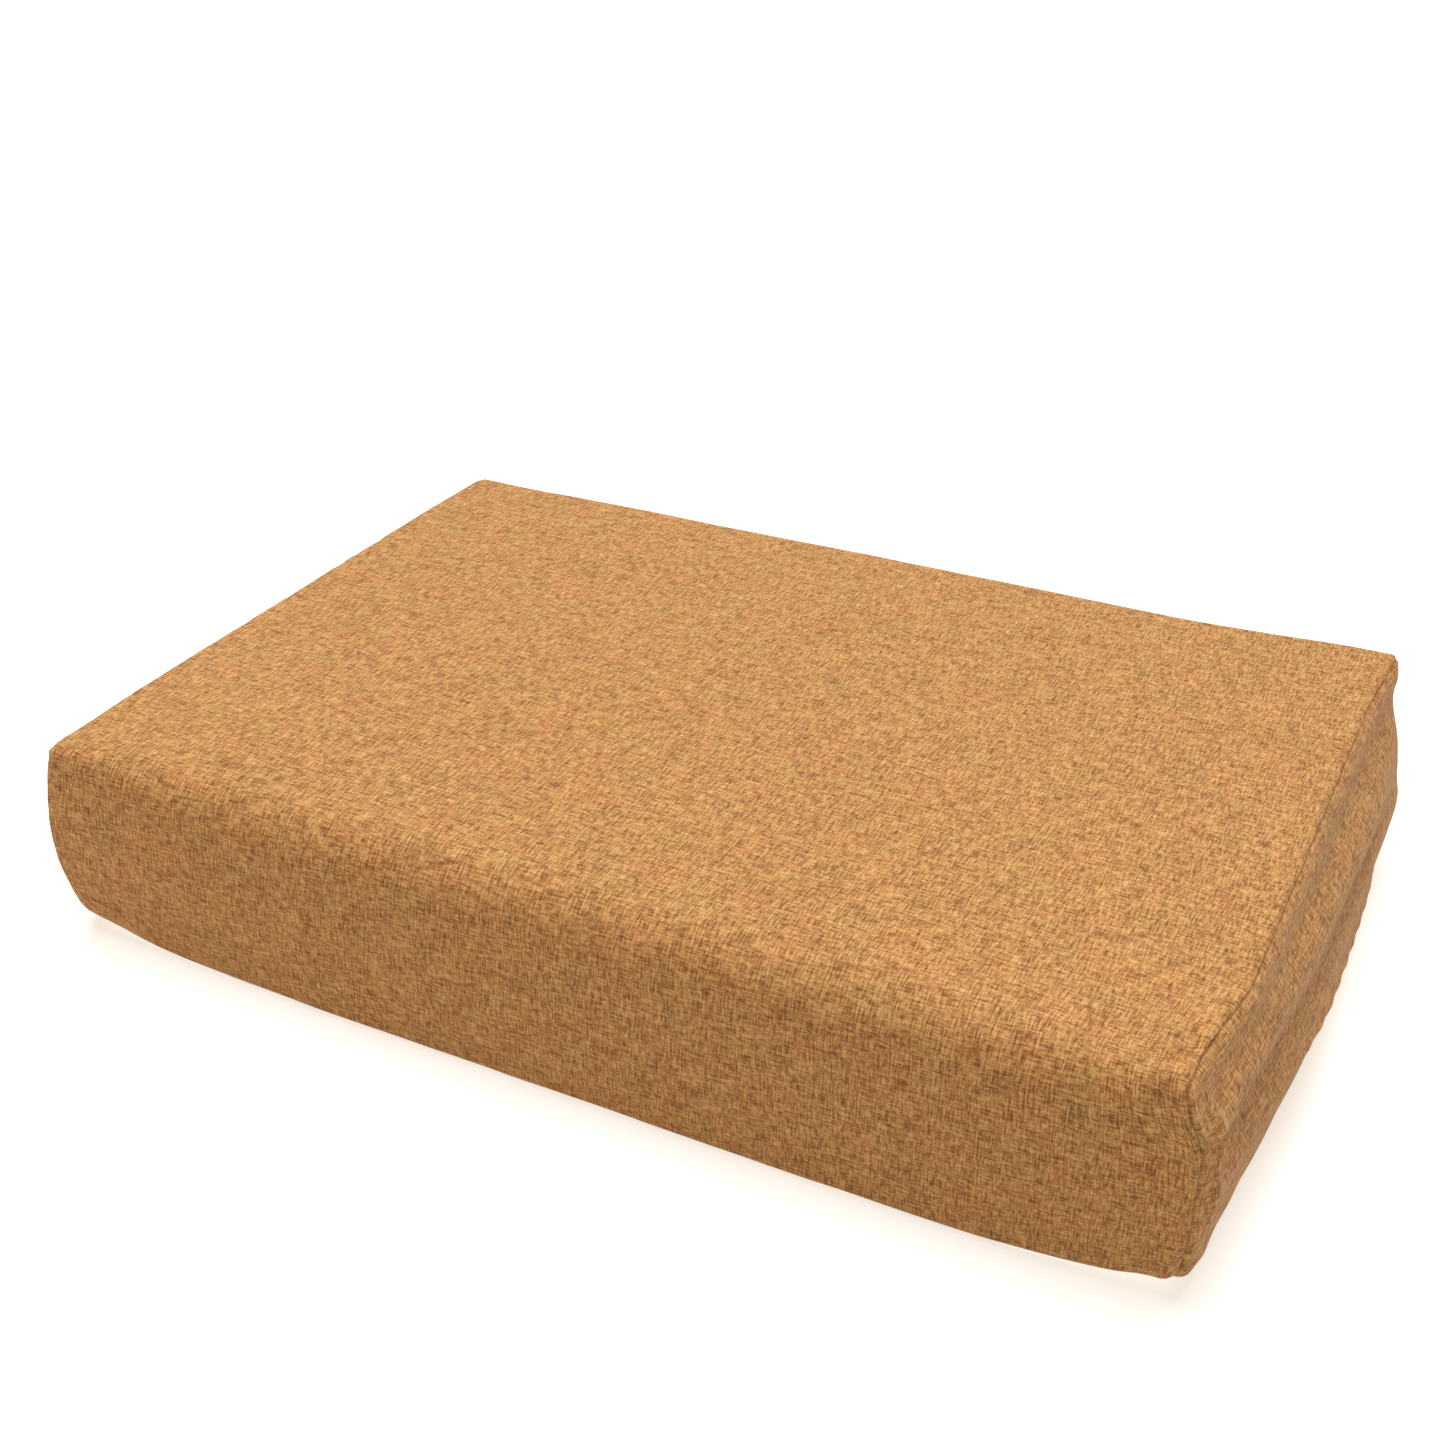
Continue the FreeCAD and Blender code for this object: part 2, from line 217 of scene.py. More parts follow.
def close_material(material, tree, surface, height=None, relief=0.2 * MM, strength=0.5):
    """Add the shader, with a bump from the height pattern, and the output."""
    if height is not None:
        bump = add_node(
            tree, "ShaderNodeBump",
            inputs={"Height": height, "Strength": strength, "Distance": relief},
        )
        surface = {**surface, "Normal": bump.outputs["Normal"]}
    shader = add_node(tree, "ShaderNodeBsdfPrincipled", inputs=surface)
    add_node(tree, "ShaderNodeOutputMaterial", inputs={"Surface": shader.outputs["BSDF"]})
    return material


def streaks(tree, place, size, seed, detail=2.0):
    """Noise drawn out to the given size in metres along each axis."""
    mapped = add_node(
        tree, "ShaderNodeMapping",
        inputs={
            "Vector": place,
            "Scale": [1 / max(length, 1e-6) for length in size],
            "Location": (seed, seed, seed),
        },
    )
    drawn = add_node(
        tree, "ShaderNodeTexNoise",
        inputs={"Vector": mapped.outputs["Vector"], "Scale": 1.0, "Detail": detail, "Roughness": 0.6},
    )
    return drawn.outputs["Fac"]


def mixed(tree, parts):
    """0.5 plus each pattern's own (pattern - 0.5) * weight."""
    total = 0.5
    for pattern, weight in parts:
        centred = add_node(
            tree, "ShaderNodeMath", {"operation": "SUBTRACT"}, {0: pattern, 1: 0.5}
        )
        total_node = add_node(
            tree, "ShaderNodeMath", {"operation": "MULTIPLY_ADD"},
            {0: centred.outputs[0], 1: weight, 2: total},
        )
        total = total_node.outputs[0]
    return total


def colour_between(tree, pattern, stops):
    """Colour ramp over (position, hex) stops."""
    node = add_node(tree, "ShaderNodeValToRGB", inputs={"Fac": pattern})
    points = node.color_ramp.elements
    while len(points) < len(stops):
        points.new(0.5)
    for point, (position, hex_colour) in zip(points, stops):
        point.position = position
        point.color = linear(hex_colour)
    return node.outputs["Color"]


def cloth_place(tree):
    return add_node(tree, "ShaderNodeUVMap", {"uv_map": "cloth"}).outputs["UV"]


def object_place(tree):
    return add_node(tree, "ShaderNodeTexCoord").outputs["Object"]


# ---- materials
# Slubs are a yarn's thick stretches: size across and along the panel, noise seed and weight.
SLUBS = (
    (0.85 * MM, 7 * MM, 3.1, 1.75),
    (6 * MM, 0.8 * MM, 7.7, 1.5),
    (1.0 * MM, 15 * MM, 11.3, 0.6),
    (1.5 * MM, 1.7 * MM, 29.1, 0.9),
    (16 * MM, 0.9 * MM, 17.9, 0.7),
    (11 * MM, 12 * MM, 23.3, 0.22),
)


def woven_polyester(colours):
    """Linen-look plain weave: matt, cross-hatched with light and dark slubs along both yarns."""
    material, tree = new_material("woven polyester, linen look")
    place = cloth_place(tree)
    yarn = mixed(tree, [
        (streaks(tree, place, (across, along, 1), seed), weight)
        for across, along, seed, weight in SLUBS
    ])
    colour = colour_between(tree, yarn, [
        (0.06, colours.cloth_dark), (0.5, colours.cloth_mid), (0.98, colours.cloth_light),
    ])
    # Dye takes unevenly, so broad patches lean to red or to straw.
    patches = mixed(tree, [(streaks(tree, place, (24 * MM, 20 * MM, 1), 41.9), 1.6)])
    dye = colour_between(tree, patches, [(0.2, "FAF3F0"), (0.8, "F3F9F1")])
    dyed = add_node(
        tree, "ShaderNodeMix", {"data_type": "RGBA", "blend_type": "MULTIPLY"},
        {"Factor": 1.0, 6: colour, 7: dye},
    ).outputs[2]
    surface = {
        "Base Color": dyed,
        "Roughness": 0.85,
        "Specular IOR Level": 0.22,
        "Sheen Weight": 0.1,
        "Sheen Roughness": 0.5,
        "Sheen Tint": linear("F3DCBC"),
    }
    return close_material(material, tree, surface, yarn, 0.2 * MM, 0.4)


def plain_cloth(name, light, dark, yarn_width, relief=0.12 * MM):
    """An even plain weave, matt, with little variation between its yarns."""
    material, tree = new_material(name)
    place = cloth_place(tree)
    yarn = mixed(tree, [
        (streaks(tree, place, (yarn_width, 8 * yarn_width, 1), 1.7), 1.1),
        (streaks(tree, place, (8 * yarn_width, yarn_width, 1), 5.3), 1.1),
    ])
    surface = {
        "Base Color": colour_between(tree, yarn, [(0.2, dark), (0.8, light)]),
        "Roughness": 0.88,
        "Specular IOR Level": 0.2,
    }
    return close_material(material, tree, surface, yarn, relief, 0.4)


# A diagonal wave texture at scale 1 has this period in metres; the thread's twist shows at its own.
WAVE_PERIOD = math.tau / 10
TWIST_PITCH = 3.77 * MM


def polyester_thread(hex_colour):
    """Spun sewing thread: a soft satin glint along its twist."""
    material, tree = new_material("spun polyester thread")
    twist = add_node(
        tree, "ShaderNodeTexWave", {"bands_direction": "DIAGONAL"},
        {"Vector": object_place(tree), "Scale": WAVE_PERIOD / TWIST_PITCH, "Distortion": 1.0},
    ).outputs["Fac"]
    surface = {"Base Color": linear(hex_colour), "Roughness": 0.55, "Specular IOR Level": 0.4}
    return close_material(material, tree, surface, twist, 0.05 * MM, 0.4)


def zip_tape_weave(hex_colour):
    """Knitted polyester tape: fine ribs along the zip and a faint sheen."""
    material, tree = new_material("knitted polyester zip tape")
    place = cloth_place(tree)
    ribs = mixed(tree, [
        (streaks(tree, place, (14 * MM, 0.45 * MM, 1), 2.9), 1.4),
        (streaks(tree, place, (0.9 * MM, 0.9 * MM, 1), 9.1), 0.5),
    ])
    surface = {
        "Base Color": colour_between(tree, ribs, [(0.2, "56391D"), (0.8, hex_colour)]),
        "Roughness": 0.75,
        "Specular IOR Level": 0.3,
    }
    return close_material(material, tree, surface, ribs, 0.12 * MM, 0.6)


def nylon_monofilament(hex_colour):
    """Dyed nylon wire: smooth and slightly glossy, so each turn catches a glint."""
    material, tree = new_material("dyed nylon monofilament")
    tone = streaks(tree, object_place(tree), (3 * MM, 1 * MM, 1 * MM), 4.4)
    surface = {
        "Base Color": colour_between(tree, tone, [(0.3, "5F4023"), (0.7, hex_colour)]),
        "Roughness": 0.32,
        "IOR": 1.53,
    }
    return close_material(material, tree, surface)


def plated_zinc():
    """Die-cast zinc with tumbled nickel plating: grey-gold, bright, with fine tumbling marks."""
    material, tree = new_material("tumbled nickel-plated zinc")
    place = object_place(tree)
    marks = streaks(tree, place, (0.25 * MM, 0.25 * MM, 0.25 * MM), 6.1, 4.0)
    cloudy = streaks(tree, place, (4 * MM, 4 * MM, 4 * MM), 8.3)
    rough = add_node(
        tree, "ShaderNodeMapRange",
        inputs={"Value": mixed(tree, [(marks, 0.7), (cloudy, 0.6)]), "To Min": 0.2, "To Max": 0.42},
    ).outputs["Result"]
    surface = {
        "Base Color": colour_between(tree, cloudy, [(0.3, "7F7866"), (0.7, "9D9583")]),
        "Metallic": 1.0,
        "Roughness": rough,
    }
    return close_material(material, tree, surface, marks, 0.02 * MM, 0.3)


def open_cell_foam(name, light, dark, cell):
    """Cut polyurethane foam: matt, with open cells as fine pits in its bump, and painted shade that darkens
    its colour by the same cell pattern.
    """
    material, tree = new_material(name)
    place = object_place(tree)
    cell_pits_and_shade = add_node(
        tree, "ShaderNodeTexVoronoi", {"feature": "F1"}, {"Vector": place, "Scale": 1 / cell}
    ).outputs["Distance"]
    # The cell pattern darkens the colour as painted shade in the open cells; the broad streaks are tone
    # that differs at random.
    tone = mixed(tree, [(cell_pits_and_shade, -0.8), (streaks(tree, place, (40 * MM,) * 3, 2.2), 0.5)])
    surface = {
        "Base Color": colour_between(tree, tone, [(0.2, dark), (0.7, light)]),
        "Roughness": 0.95,
        "Specular IOR Level": 0.15,
    }
    return close_material(material, tree, surface, cell_pits_and_shade, 0.3 * MM, 0.5)


def soft_pvc():
    """Moulded PVC drops: slightly glossy, greyish white, with a faint give in tone."""
    material, tree = new_material("moulded soft PVC")
    tone = streaks(tree, object_place(tree), (30 * MM, 30 * MM, 5 * MM), 5.8)
    surface = {
        "Base Color": colour_between(tree, tone, [(0.3, "CFCBC1"), (0.7, "DEDBD3")]),
        "Roughness": 0.45,
        "IOR": 1.5,
    }
    return close_material(material, tree, surface)


# ---- cushion shape
# Lower corners by side of X and Y: plan radius, lift, reach of the lift and inward tuck at the floor.
LOWER_CORNERS = {
    (-1, -1): (12 * MM, 5 * MM, 80 * MM, 8 * MM),
    (1, -1): (7 * MM, 9 * MM, 88 * MM, 2 * MM),
    (-1, 1): (18 * MM, 4 * MM, 80 * MM, 5 * MM),
    (1, 1): (14 * MM, 4 * MM, 80 * MM, 4 * MM),
}
CORNER_FADE = 62 * MM       # height over which a lower corner turns into the sharp seam above
CORNER_SHARP = 2.5 * MM     # plan radius of that seam
FADE_POWER = 2.5
LIFT_POWER = 1.6
UNDER_ROLL = 11 * MM        # height over which the bottom edge rolls under
PLAIN_TUCK = 0.6 * MM       # how far it goes under away from the corners
BELLY_REACH = 40 * MM       # how far in from a face its belly is felt
END_EASE = (5 * MM, 70 * MM)
FRONT_BOW = 3 * MM
BOW_EASE = (20 * MM, 170 * MM)
LEFT_SPREAD = 2 * MM
RIGHT_DRAW = 1.2 * MM
RIGHT_DRAW_FADE = 50 * MM
BACK_CORNER_PULL = 2.4 * MM
BACK_CORNER_REACH = 80 * MM
BACK_SPREAD = 2 * MM
BACK_BELLY_FOOT = 16 * MM   # above the zip, as is the next
BACK_SPREAD_FOOT = 30 * MM
CROWN_FADE = 30 * MM
CROWN_END_EASE = 60 * MM
CROWN_FACE_EASE = (10 * MM, 70 * MM)
PINCH_DEPTH = 9 * MM
PINCH_BACK = (15 * MM, 90 * MM)
PINCH_DOWN = (2 * MM, 32 * MM)
PINCH_IN = 60 * MM


def rounded(first, second, first_limit, second_limit, radius):
    """Bend a point near the square corner of two limits onto a quarter round."""
    across = (abs(first) - first_limit) / radius + 1
    up = (abs(second) - second_limit) / radius + 1
    if across <= 0 or up <= 0:
        return first, second
    bent_across = across * math.sqrt(max(0, 1 - up * up / 2))
    bent_up = up * math.sqrt(max(0, 1 - across * across / 2))
    return (
        math.copysign(first_limit + (bent_across - 1) * radius, first),
        math.copysign(second_limit + (bent_up - 1) * radius, second),
    )


def shaped(place):
    """Where a point of the plain rolled box lies on the filled cushion."""
    shape = bpy.context.scene.pet_bed_shape
    x, y, z = place
    side_x, side_y = (1 if x > 0 else -1), (1 if y > 0 else -1)
    radius, lift, reach, tuck = LOWER_CORNERS[side_x, side_y]
    low = min(max(1 - z / CORNER_FADE, 0.0), 1.0)
    plan = CORNER_SHARP + (radius - CORNER_SHARP) * low ** FADE_POWER
    new_x, new_y = rounded(x, y, HALF_LENGTH, HALF_DEPTH, plan)
    to_end, to_face = HALF_LENGTH - abs(x), HALF_DEPTH - abs(y)
    near_end, near_face = 1 - ramp(to_end, 0, BELLY_REACH), 1 - ramp(to_face, 0, BELLY_REACH)
    along = min(max(1 - to_end / reach, 0.0), 1.0)
    across = min(max(1 - to_face / reach, 0.0), 1.0)
    rise = lift * along ** LIFT_POWER * across ** LIFT_POWER * low
    # The bottom edge is drawn under, most of all at the corners.
    under = min(max(1 - z / UNDER_ROLL, 0.0), 1.0) ** 2
    new_y -= side_y * (PLAIN_TUCK + tuck * along ** 2) * under * near_face
    new_x -= side_x * (PLAIN_TUCK + tuck * across ** 2) * under * near_end
    belly = shape.right_belly if x > 0 else shape.left_belly
    new_x += side_x * belly * arch(z, 0, TOP) * near_end
    middle = near_end * ramp(to_face, *END_EASE)
    if x > 0:
        # The top seam sags inwards between its corners, and the back one stands out.
        pulled = BACK_CORNER_PULL * near_end * (1 - ramp(HALF_DEPTH - y, 0, BACK_CORNER_REACH))
        new_x += (pulled - RIGHT_DRAW * middle) * ramp(z, TOP - RIGHT_DRAW_FADE, TOP)
    else:
        new_x -= LEFT_SPREAD * middle
    if y < 0:
        bow = FRONT_BOW * ramp(to_end, *BOW_EASE) * (1 - z / TOP)
        new_y -= (shape.front_belly * arch(z, 0, TOP) + bow) * near_face
    else:
        new_y += shape.back_belly * arch(z, ZIP_HEIGHT + BACK_BELLY_FOOT, TOP) * near_face
        fullest = arch(x, -HALF_LENGTH / 2, HALF_LENGTH)
        fullest *= ramp(z, ZIP_HEIGHT + BACK_SPREAD_FOOT, TOP)
        new_y += BACK_SPREAD * fullest * near_face
    high = ramp(z, TOP - CROWN_FADE, TOP)
    rise += shape.crown * high * ramp(to_end, 0, CROWN_END_EASE) * ramp(to_face, *CROWN_FACE_EASE)
    if x > 0 > y:
        # The seam is drawn in where it turns down the front right corner.
        drawn = (1 - ramp(to_face, *PINCH_BACK)) * (1 - ramp(TOP - z, *PINCH_DOWN))
        new_x -= PINCH_DEPTH * drawn * ramp(x, HALF_LENGTH - PINCH_IN, HALF_LENGTH)
    return Vector((new_x, new_y, z + rise))


# Roll radius as a share of the whole roll at each end: the seams hold the corners square.
ROLL_AT_ENDS = {"front": (0.3, 0.55), "back": (1.1, 0.25)}
ROLL_EASE = {"front": 95 * MM, "back": 130 * MM}


def roll_radius(which, x):
    """Radius of the front or back roll at a distance along the cushion."""
    shape = bpy.context.scene.pet_bed_shape
    whole = shape.front_roll if which == "front" else shape.back_roll
    left, right = ROLL_AT_ENDS[which]
    middle = ramp(HALF_LENGTH - abs(x), 0, ROLL_EASE[which])
    share = left if x < 0 else right
    return whole * (share + (1 - share) * middle)


def section_runs(x):
    """Runs of the wrap's section from front hem to zip: (length, roll radius or None)."""
    front, back = roll_radius("front", x), roll_radius("back", x)
    return [
        (TOP - front - CLOTH, None),
        (math.pi / 2 * front, front),
        (2 * HALF_DEPTH - front - back, None),
        (math.pi / 2 * back, back),
        (TOP - back - ZIP_HEIGHT, None),
    ]


def section_length(x):
    return sum(length for length, _ in section_runs(x))


def section_place(x, distance):
    """Follow the section for a distance: y, z and the heading angle in the YZ plane."""
    y, z, heading = -HALF_DEPTH, CLOTH, math.pi / 2
    for length, radius in section_runs(x):
        step = min(distance, length)
        if radius:
            centre_y = y + radius * math.sin(heading)
            centre_z = z - radius * math.cos(heading)
            heading -= step / radius
            y = centre_y - radius * math.sin(heading)
            z = centre_z + radius * math.cos(heading)
        else:
            y += step * math.cos(heading)
            z += step * math.sin(heading)
        distance -= step
        if distance <= 0:
            break
    return y, z, heading


def rolled(x, y, z, half_depth, top, inset=0.0):
    """Bend the square upper corners of an outline at x into the section's rolls."""
    radius = roll_radius("back" if y > 0 else "front", x) - inset
    return rounded(y, z, half_depth, top, max(radius, 1.5 * MM))


# ---- mesh helpers
def spread(low, high, spacing, extra=()):
    """Even places from low to high, with the extra places put in exactly."""
    count = max(2, round((high - low) / spacing))
    even = [low + (high - low) * step / count for step in range(count + 1)]
    fixed = [low, high, *extra]
    free = [place for place in even if min(abs(place - other) for other in fixed) > 0.35 * spacing]
    return sorted(free + fixed)


def slice_at(bm, axis, places):
    """Add a row of vertices at each place along an axis."""
    for place in places:
        bmesh.ops.bisect_plane(
            bm,
            geom=bm.verts[:] + bm.edges[:] + bm.faces[:],
            dist=1e-7,
            plane_co=axis * place,
            plane_no=axis,
        )


def verts_of(parts):
    return [part for part in parts if isinstance(part, bmesh.types.BMVert)]


def cloth_panel(width, height, spacing, columns=(), rows=()):
    """A flat grid, width along X and height along Y, with extra rows and a weave map."""
    across = spread(-width / 2, width / 2, spacing, columns)
    up = spread(-height / 2, height / 2, spacing, rows)
    bm = bmesh.new()
    last = bm.verts.new((across[0], up[0], 0))
    for step in (right - left for left, right in zip(across, across[1:])):
        bmesh.ops.extrude_vert_indiv(bm, verts=[last])
        bm.verts.ensure_lookup_table()
        last = bm.verts[-1]
        last.co.x += step
    row = bm.edges[:]
    for step in (top - bottom for bottom, top in zip(up, up[1:])):
        grown = bmesh.ops.extrude_edge_only(bm, edges=row)["geom"]
        bmesh.ops.translate(bm, vec=(0, step, 0), verts=verts_of(grown))
        row = [edge for edge in grown if isinstance(edge, bmesh.types.BMEdge)]
    bm.normal_update()
    bm.faces.ensure_lookup_table()
    if bm.faces[0].normal.z < 0:
        bmesh.ops.reverse_faces(bm, faces=bm.faces)
    weave = bm.loops.layers.uv.new("cloth")
    for face in bm.faces:
        for loop in face.loops:
            loop[weave].uv = loop.vert.co.xy
    return bm


def copy_by(bm, faces, step):
    """Add a copy of some faces, moved by a step."""
    grown = bmesh.ops.duplicate(bm, geom=faces)["geom"]
    bmesh.ops.translate(bm, vec=step, verts=verts_of(grown))


def new_object(name, data):
    """An object in the scene, at the origin."""
    item = bpy.data.objects.new(name, data)
    bpy.context.scene.collection.objects.link(item)
    return item


def fill_mesh(mesh, bm):
    """Move a finished bmesh into a mesh, shaded smooth."""
    bm.to_mesh(mesh)
    bm.free()
    for polygon in mesh.polygons:
        polygon.use_smooth = True


def make_object(name, bm, material):
    mesh = bpy.data.meshes.new(name)
    fill_mesh(mesh, bm)
    mesh.materials.append(material)
    return new_object(name, mesh)


def turn_in(bm, depth, towards, chosen=lambda edge: True):
    """Fold a seam allowance inside from the chosen open edges."""
    rim = [edge for edge in bm.edges if edge.is_boundary and chosen(edge)]
    grown = bmesh.ops.extrude_edge_only(bm, edges=rim)["geom"]
    for vert in verts_of(grown):
        vert.co += towards(vert.co) * depth


def sewn_edges(bm, lower_hem):
    """The flat panel's open edges that lie along its ends and its lower hem."""
    close = 0.01 * MM
    return {
        edge for edge in bm.edges
        if edge.is_boundary and (
            max(vert.co.y for vert in edge.verts) < lower_hem + close
            or min(abs(vert.co.x) for vert in edge.verts) > HALF_LENGTH - close
        )
    }


def thicken(piece, thickness, levels=0):
    """Give a panel its thickness, and round it off where levels are given."""
    solid = piece.modifiers.new("cloth thickness", "SOLIDIFY")
    solid.thickness = thickness
    solid.offset = -1
    if levels:
        rounding = piece.modifiers.new("rounding", "SUBSURF")
        rounding.levels = rounding.render_levels = levels


def repeat(piece, count, pitch):
    """Repeat a small shape along X."""
    row = piece.modifiers.new("row", "ARRAY")
    row.count = count
    row.use_relative_offset = False
    row.use_constant_offset = True
    row.constant_offset_displace = (pitch, 0, 0)


def place_on(piece, slot, *nodes, body="cushion"):
    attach(piece, body)
    if nodes:
        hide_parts(*nodes)
    return piece


# ---- wrap panel
def seam_dip(inset, depth):
    """How far cloth has rounded down into a seam at a distance from its stitches."""
    missing = min(max(1 - inset / depth, 0.0), 1.0)
    return depth * (1 - math.sqrt(1 - missing * missing))


def gather(along, inset, seed):
    """Small puckers that stitches draw up beside a seam."""
    short = wander(along / (7 * MM), seed, inset / (25 * MM))
    long = wander(along / (17 * MM), seed + 4, inset / (40 * MM))
    return (0.45 * short + 0.35 * long) * MM * math.exp(-inset / (9 * MM))


# Where the pale base edge shows below the front: place along X, width and share.
HEM_SHOWS = ((-190 * MM, 50 * MM, 1), (30 * MM, 35 * MM, 0.6), (232 * MM, 22 * MM, 0.5))


def hem_show(x):
    """Share by which the pale base edge shows below the front, from 0 to 1."""
    return sum(share * hump(x - place, width) for place, width, share in HEM_SHOWS)


HEM_WIDTH = 8 * MM
HEM_STEP = 1.5 * MM
HEM_RISE = 0.8 * MM
STITCH_INSET = 2.6 * MM
CALM_EDGE = 40 * MM
SEAM_GROOVE = (13 * MM, 9 * MM, 1.6 * MM)    # from the end seam, half width and depth
# Pits beside the front right corner: from the end seam, and along the section from the front roll.
CORNER_PITS = ((8 * MM, 16 * MM), (9 * MM, -15 * MM))
PIT_WIDTH, PIT_DEPTH = 6.5 * MM, 3.0 * MM
RIM_RADIUS, RIM_WIDTH, RIM_RISE = 11 * MM, 4 * MM, 1.2 * MM


def wrap_relief(x, distance, heading, depth):
    """How far the wrap stands off its plain section, along its own normal."""
    runs = section_runs(x)
    front_height = runs[0][0]
    roll_end = front_height + runs[1][0]
    total = section_length(x)
    inset = HALF_LENGTH - abs(x)
    side = 1 if x > 0 else -1
    relief = -seam_dip(inset, depth) + gather(distance, inset, 3.7 * side)
    calm = ramp(inset, 0, CALM_EDGE)
    relief += 0.8 * MM * calm * wander(x / (110 * MM), distance / (90 * MM), 0.3)
    relief += 0.25 * MM * calm * wander(x / (28 * MM), distance / (34 * MM), 5.3)
    if side > 0:
        front = ramp(front_height - distance, -10 * MM, 10 * MM)
        groove_inset, groove_width, groove_depth = SEAM_GROOVE
        relief -= groove_depth * front * hump(inset - groove_inset, groove_width)
        for pit_inset, along in CORNER_PITS:
            away = math.hypot(inset - pit_inset, distance - (roll_end + along))
            relief -= PIT_DEPTH * hump(away, PIT_WIDTH)
            relief += RIM_RISE * hump(away - RIM_RADIUS, RIM_WIDTH)
    # The hem over the zip is folded double, and its topstitching sinks into it.
    from_fold = total - bpy.context.scene.pet_bed_cloth.zip_window / 2 - distance
    if abs(x) < ZIP_HALF + 2 * MM and heading < -1:
        relief = relief * ramp(from_fold, HEM_WIDTH, CALM_EDGE) + folded_hem(from_fold)
    return relief


def folded_hem(from_fold):
    """Height of a hem folded double, at a distance from its fold."""
    step = HEM_RISE * (1 - ramp(from_fold, HEM_WIDTH, HEM_WIDTH + HEM_STEP))
    fold = seam_dip(max(from_fold, 0.0), HEM_RISE)
    stitched = 0.35 * MM * hump(from_fold - STITCH_INSET, 0.8 * MM)
    return step - fold - stitched


def hemmed_panel(height):
    """A flat panel with the zip's window cut from its upper edge, its sewn edges, and the window's foot."""
    cloth = bpy.context.scene.pet_bed_cloth
    window = height / 2 - cloth.zip_window / 2
    near_seam = [cloth.seam_depth * share for share in (0.12, 0.45, 1.0, 2.0)]
    near_fold = (0, 0.3 * MM, 0.9 * MM, 1.8 * MM, STITCH_INSET, 3.6 * MM)
    bm = cloth_panel(
        2 * HALF_LENGTH, height, cloth.grid,
        columns=[side * (HALF_LENGTH - inset) for inset in near_seam for side in (-1, 1)]
        + [-ZIP_HALF, ZIP_HALF],
        rows=[window - step for step in near_fold]
        + [window - HEM_WIDTH, window - HEM_WIDTH - HEM_STEP]
        + [-height / 2 + step for step in (0.4 * MM, 1.4 * MM)],
    )
    centres = [(face, face.calc_center_median()) for face in bm.faces]
    cut = [face for face, centre in centres if centre.y > window and abs(centre.x) < ZIP_HALF]
    bmesh.ops.delete(bm, geom=cut, context="FACES")
    return bm, sewn_edges(bm, -height / 2), window


def build_wrap(material):
    cloth = bpy.context.scene.pet_bed_cloth
    depth = cloth.seam_depth
    length = section_length(0)
    bm, sewn, _ = hemmed_panel(length)
    for vert in bm.verts:
        x = vert.co.x
        distance = (vert.co.y + length / 2) * section_length(x) / length
        y, z, heading = section_place(x, distance)
        relief = wrap_relief(x, distance, heading, depth)
        place = shaped(Vector((x, y, z)))
        hem = 0.9 * MM * hem_show(x) * ramp(-distance, -12 * MM, 0)
        vert.co = place + Vector((0, -math.sin(heading), math.cos(heading))) * relief
        vert.co.z += hem

    def inwards(place):
        if abs(place.x) > HALF_LENGTH - 20 * MM and place.z > 4 * MM:
            across = math.copysign(0.7, -place.x)
            return Vector((across, -place.y, (TOP / 2 - place.z) * 2)).normalized()
        return Vector((0, math.copysign(1, -place.y), 0.4)).normalized()

    turn_in(bm, cloth.seam_turn, inwards, lambda edge: edge in sewn)
    piece = make_object("wrap_panel_cloth", bm, material)
    thicken(piece, cloth.thickness)
    return place_on(piece, "cover_cloth", "cover_wrap_panel")


# ---- end panels
RIGHT_FREE_FRONT, RIGHT_FREE_BACK = 24 * MM, 40 * MM
LIP_FREE_BACK = 14 * MM
FRONT_SHARE = 0.25          # share of the fullness left at the front seam
FULL_FROM_FRONT = 190 * MM
LOW_BELLY = 0.62            # a power below 1 moves the fullest height down
# Bands below the top seam: depth below the top, half width, and how far they stand out.
LIP = (7 * MM, 5 * MM, 2.6 * MM)
GROOVE = (15 * MM, 9 * MM, -2.6 * MM)
# Fold lines: height, slope down towards the back, and the Y where that height holds.
BROAD_LINE = (77 * MM, 0.05, 67 * MM)
THIN_LINE = (22 * MM, 0.13, 85 * MM)
FOLDS_FRONT, FOLDS_BACK = (4 * MM, 40 * MM), (12 * MM, 120 * MM)
BROAD_RISE, BROAD_WIDTH = 4.2 * MM, 10 * MM
VALLEY_DROP, VALLEY_WIDTH, VALLEY_DEPTH = 19 * MM, 8 * MM, 3.2 * MM
THIN_RISE, THIN_WIDTH = 4.2 * MM, 3.5 * MM
RIDGE_INSET, RIDGE_LEAN, RIDGE_FOOT = 5 * MM, 0.16, 20 * MM
RIDGE_RISE, RIDGE_WIDTH = 3.6 * MM, 4.5 * MM


def fold_line(y, height, slope, middle):
    return height - slope * (y - middle)


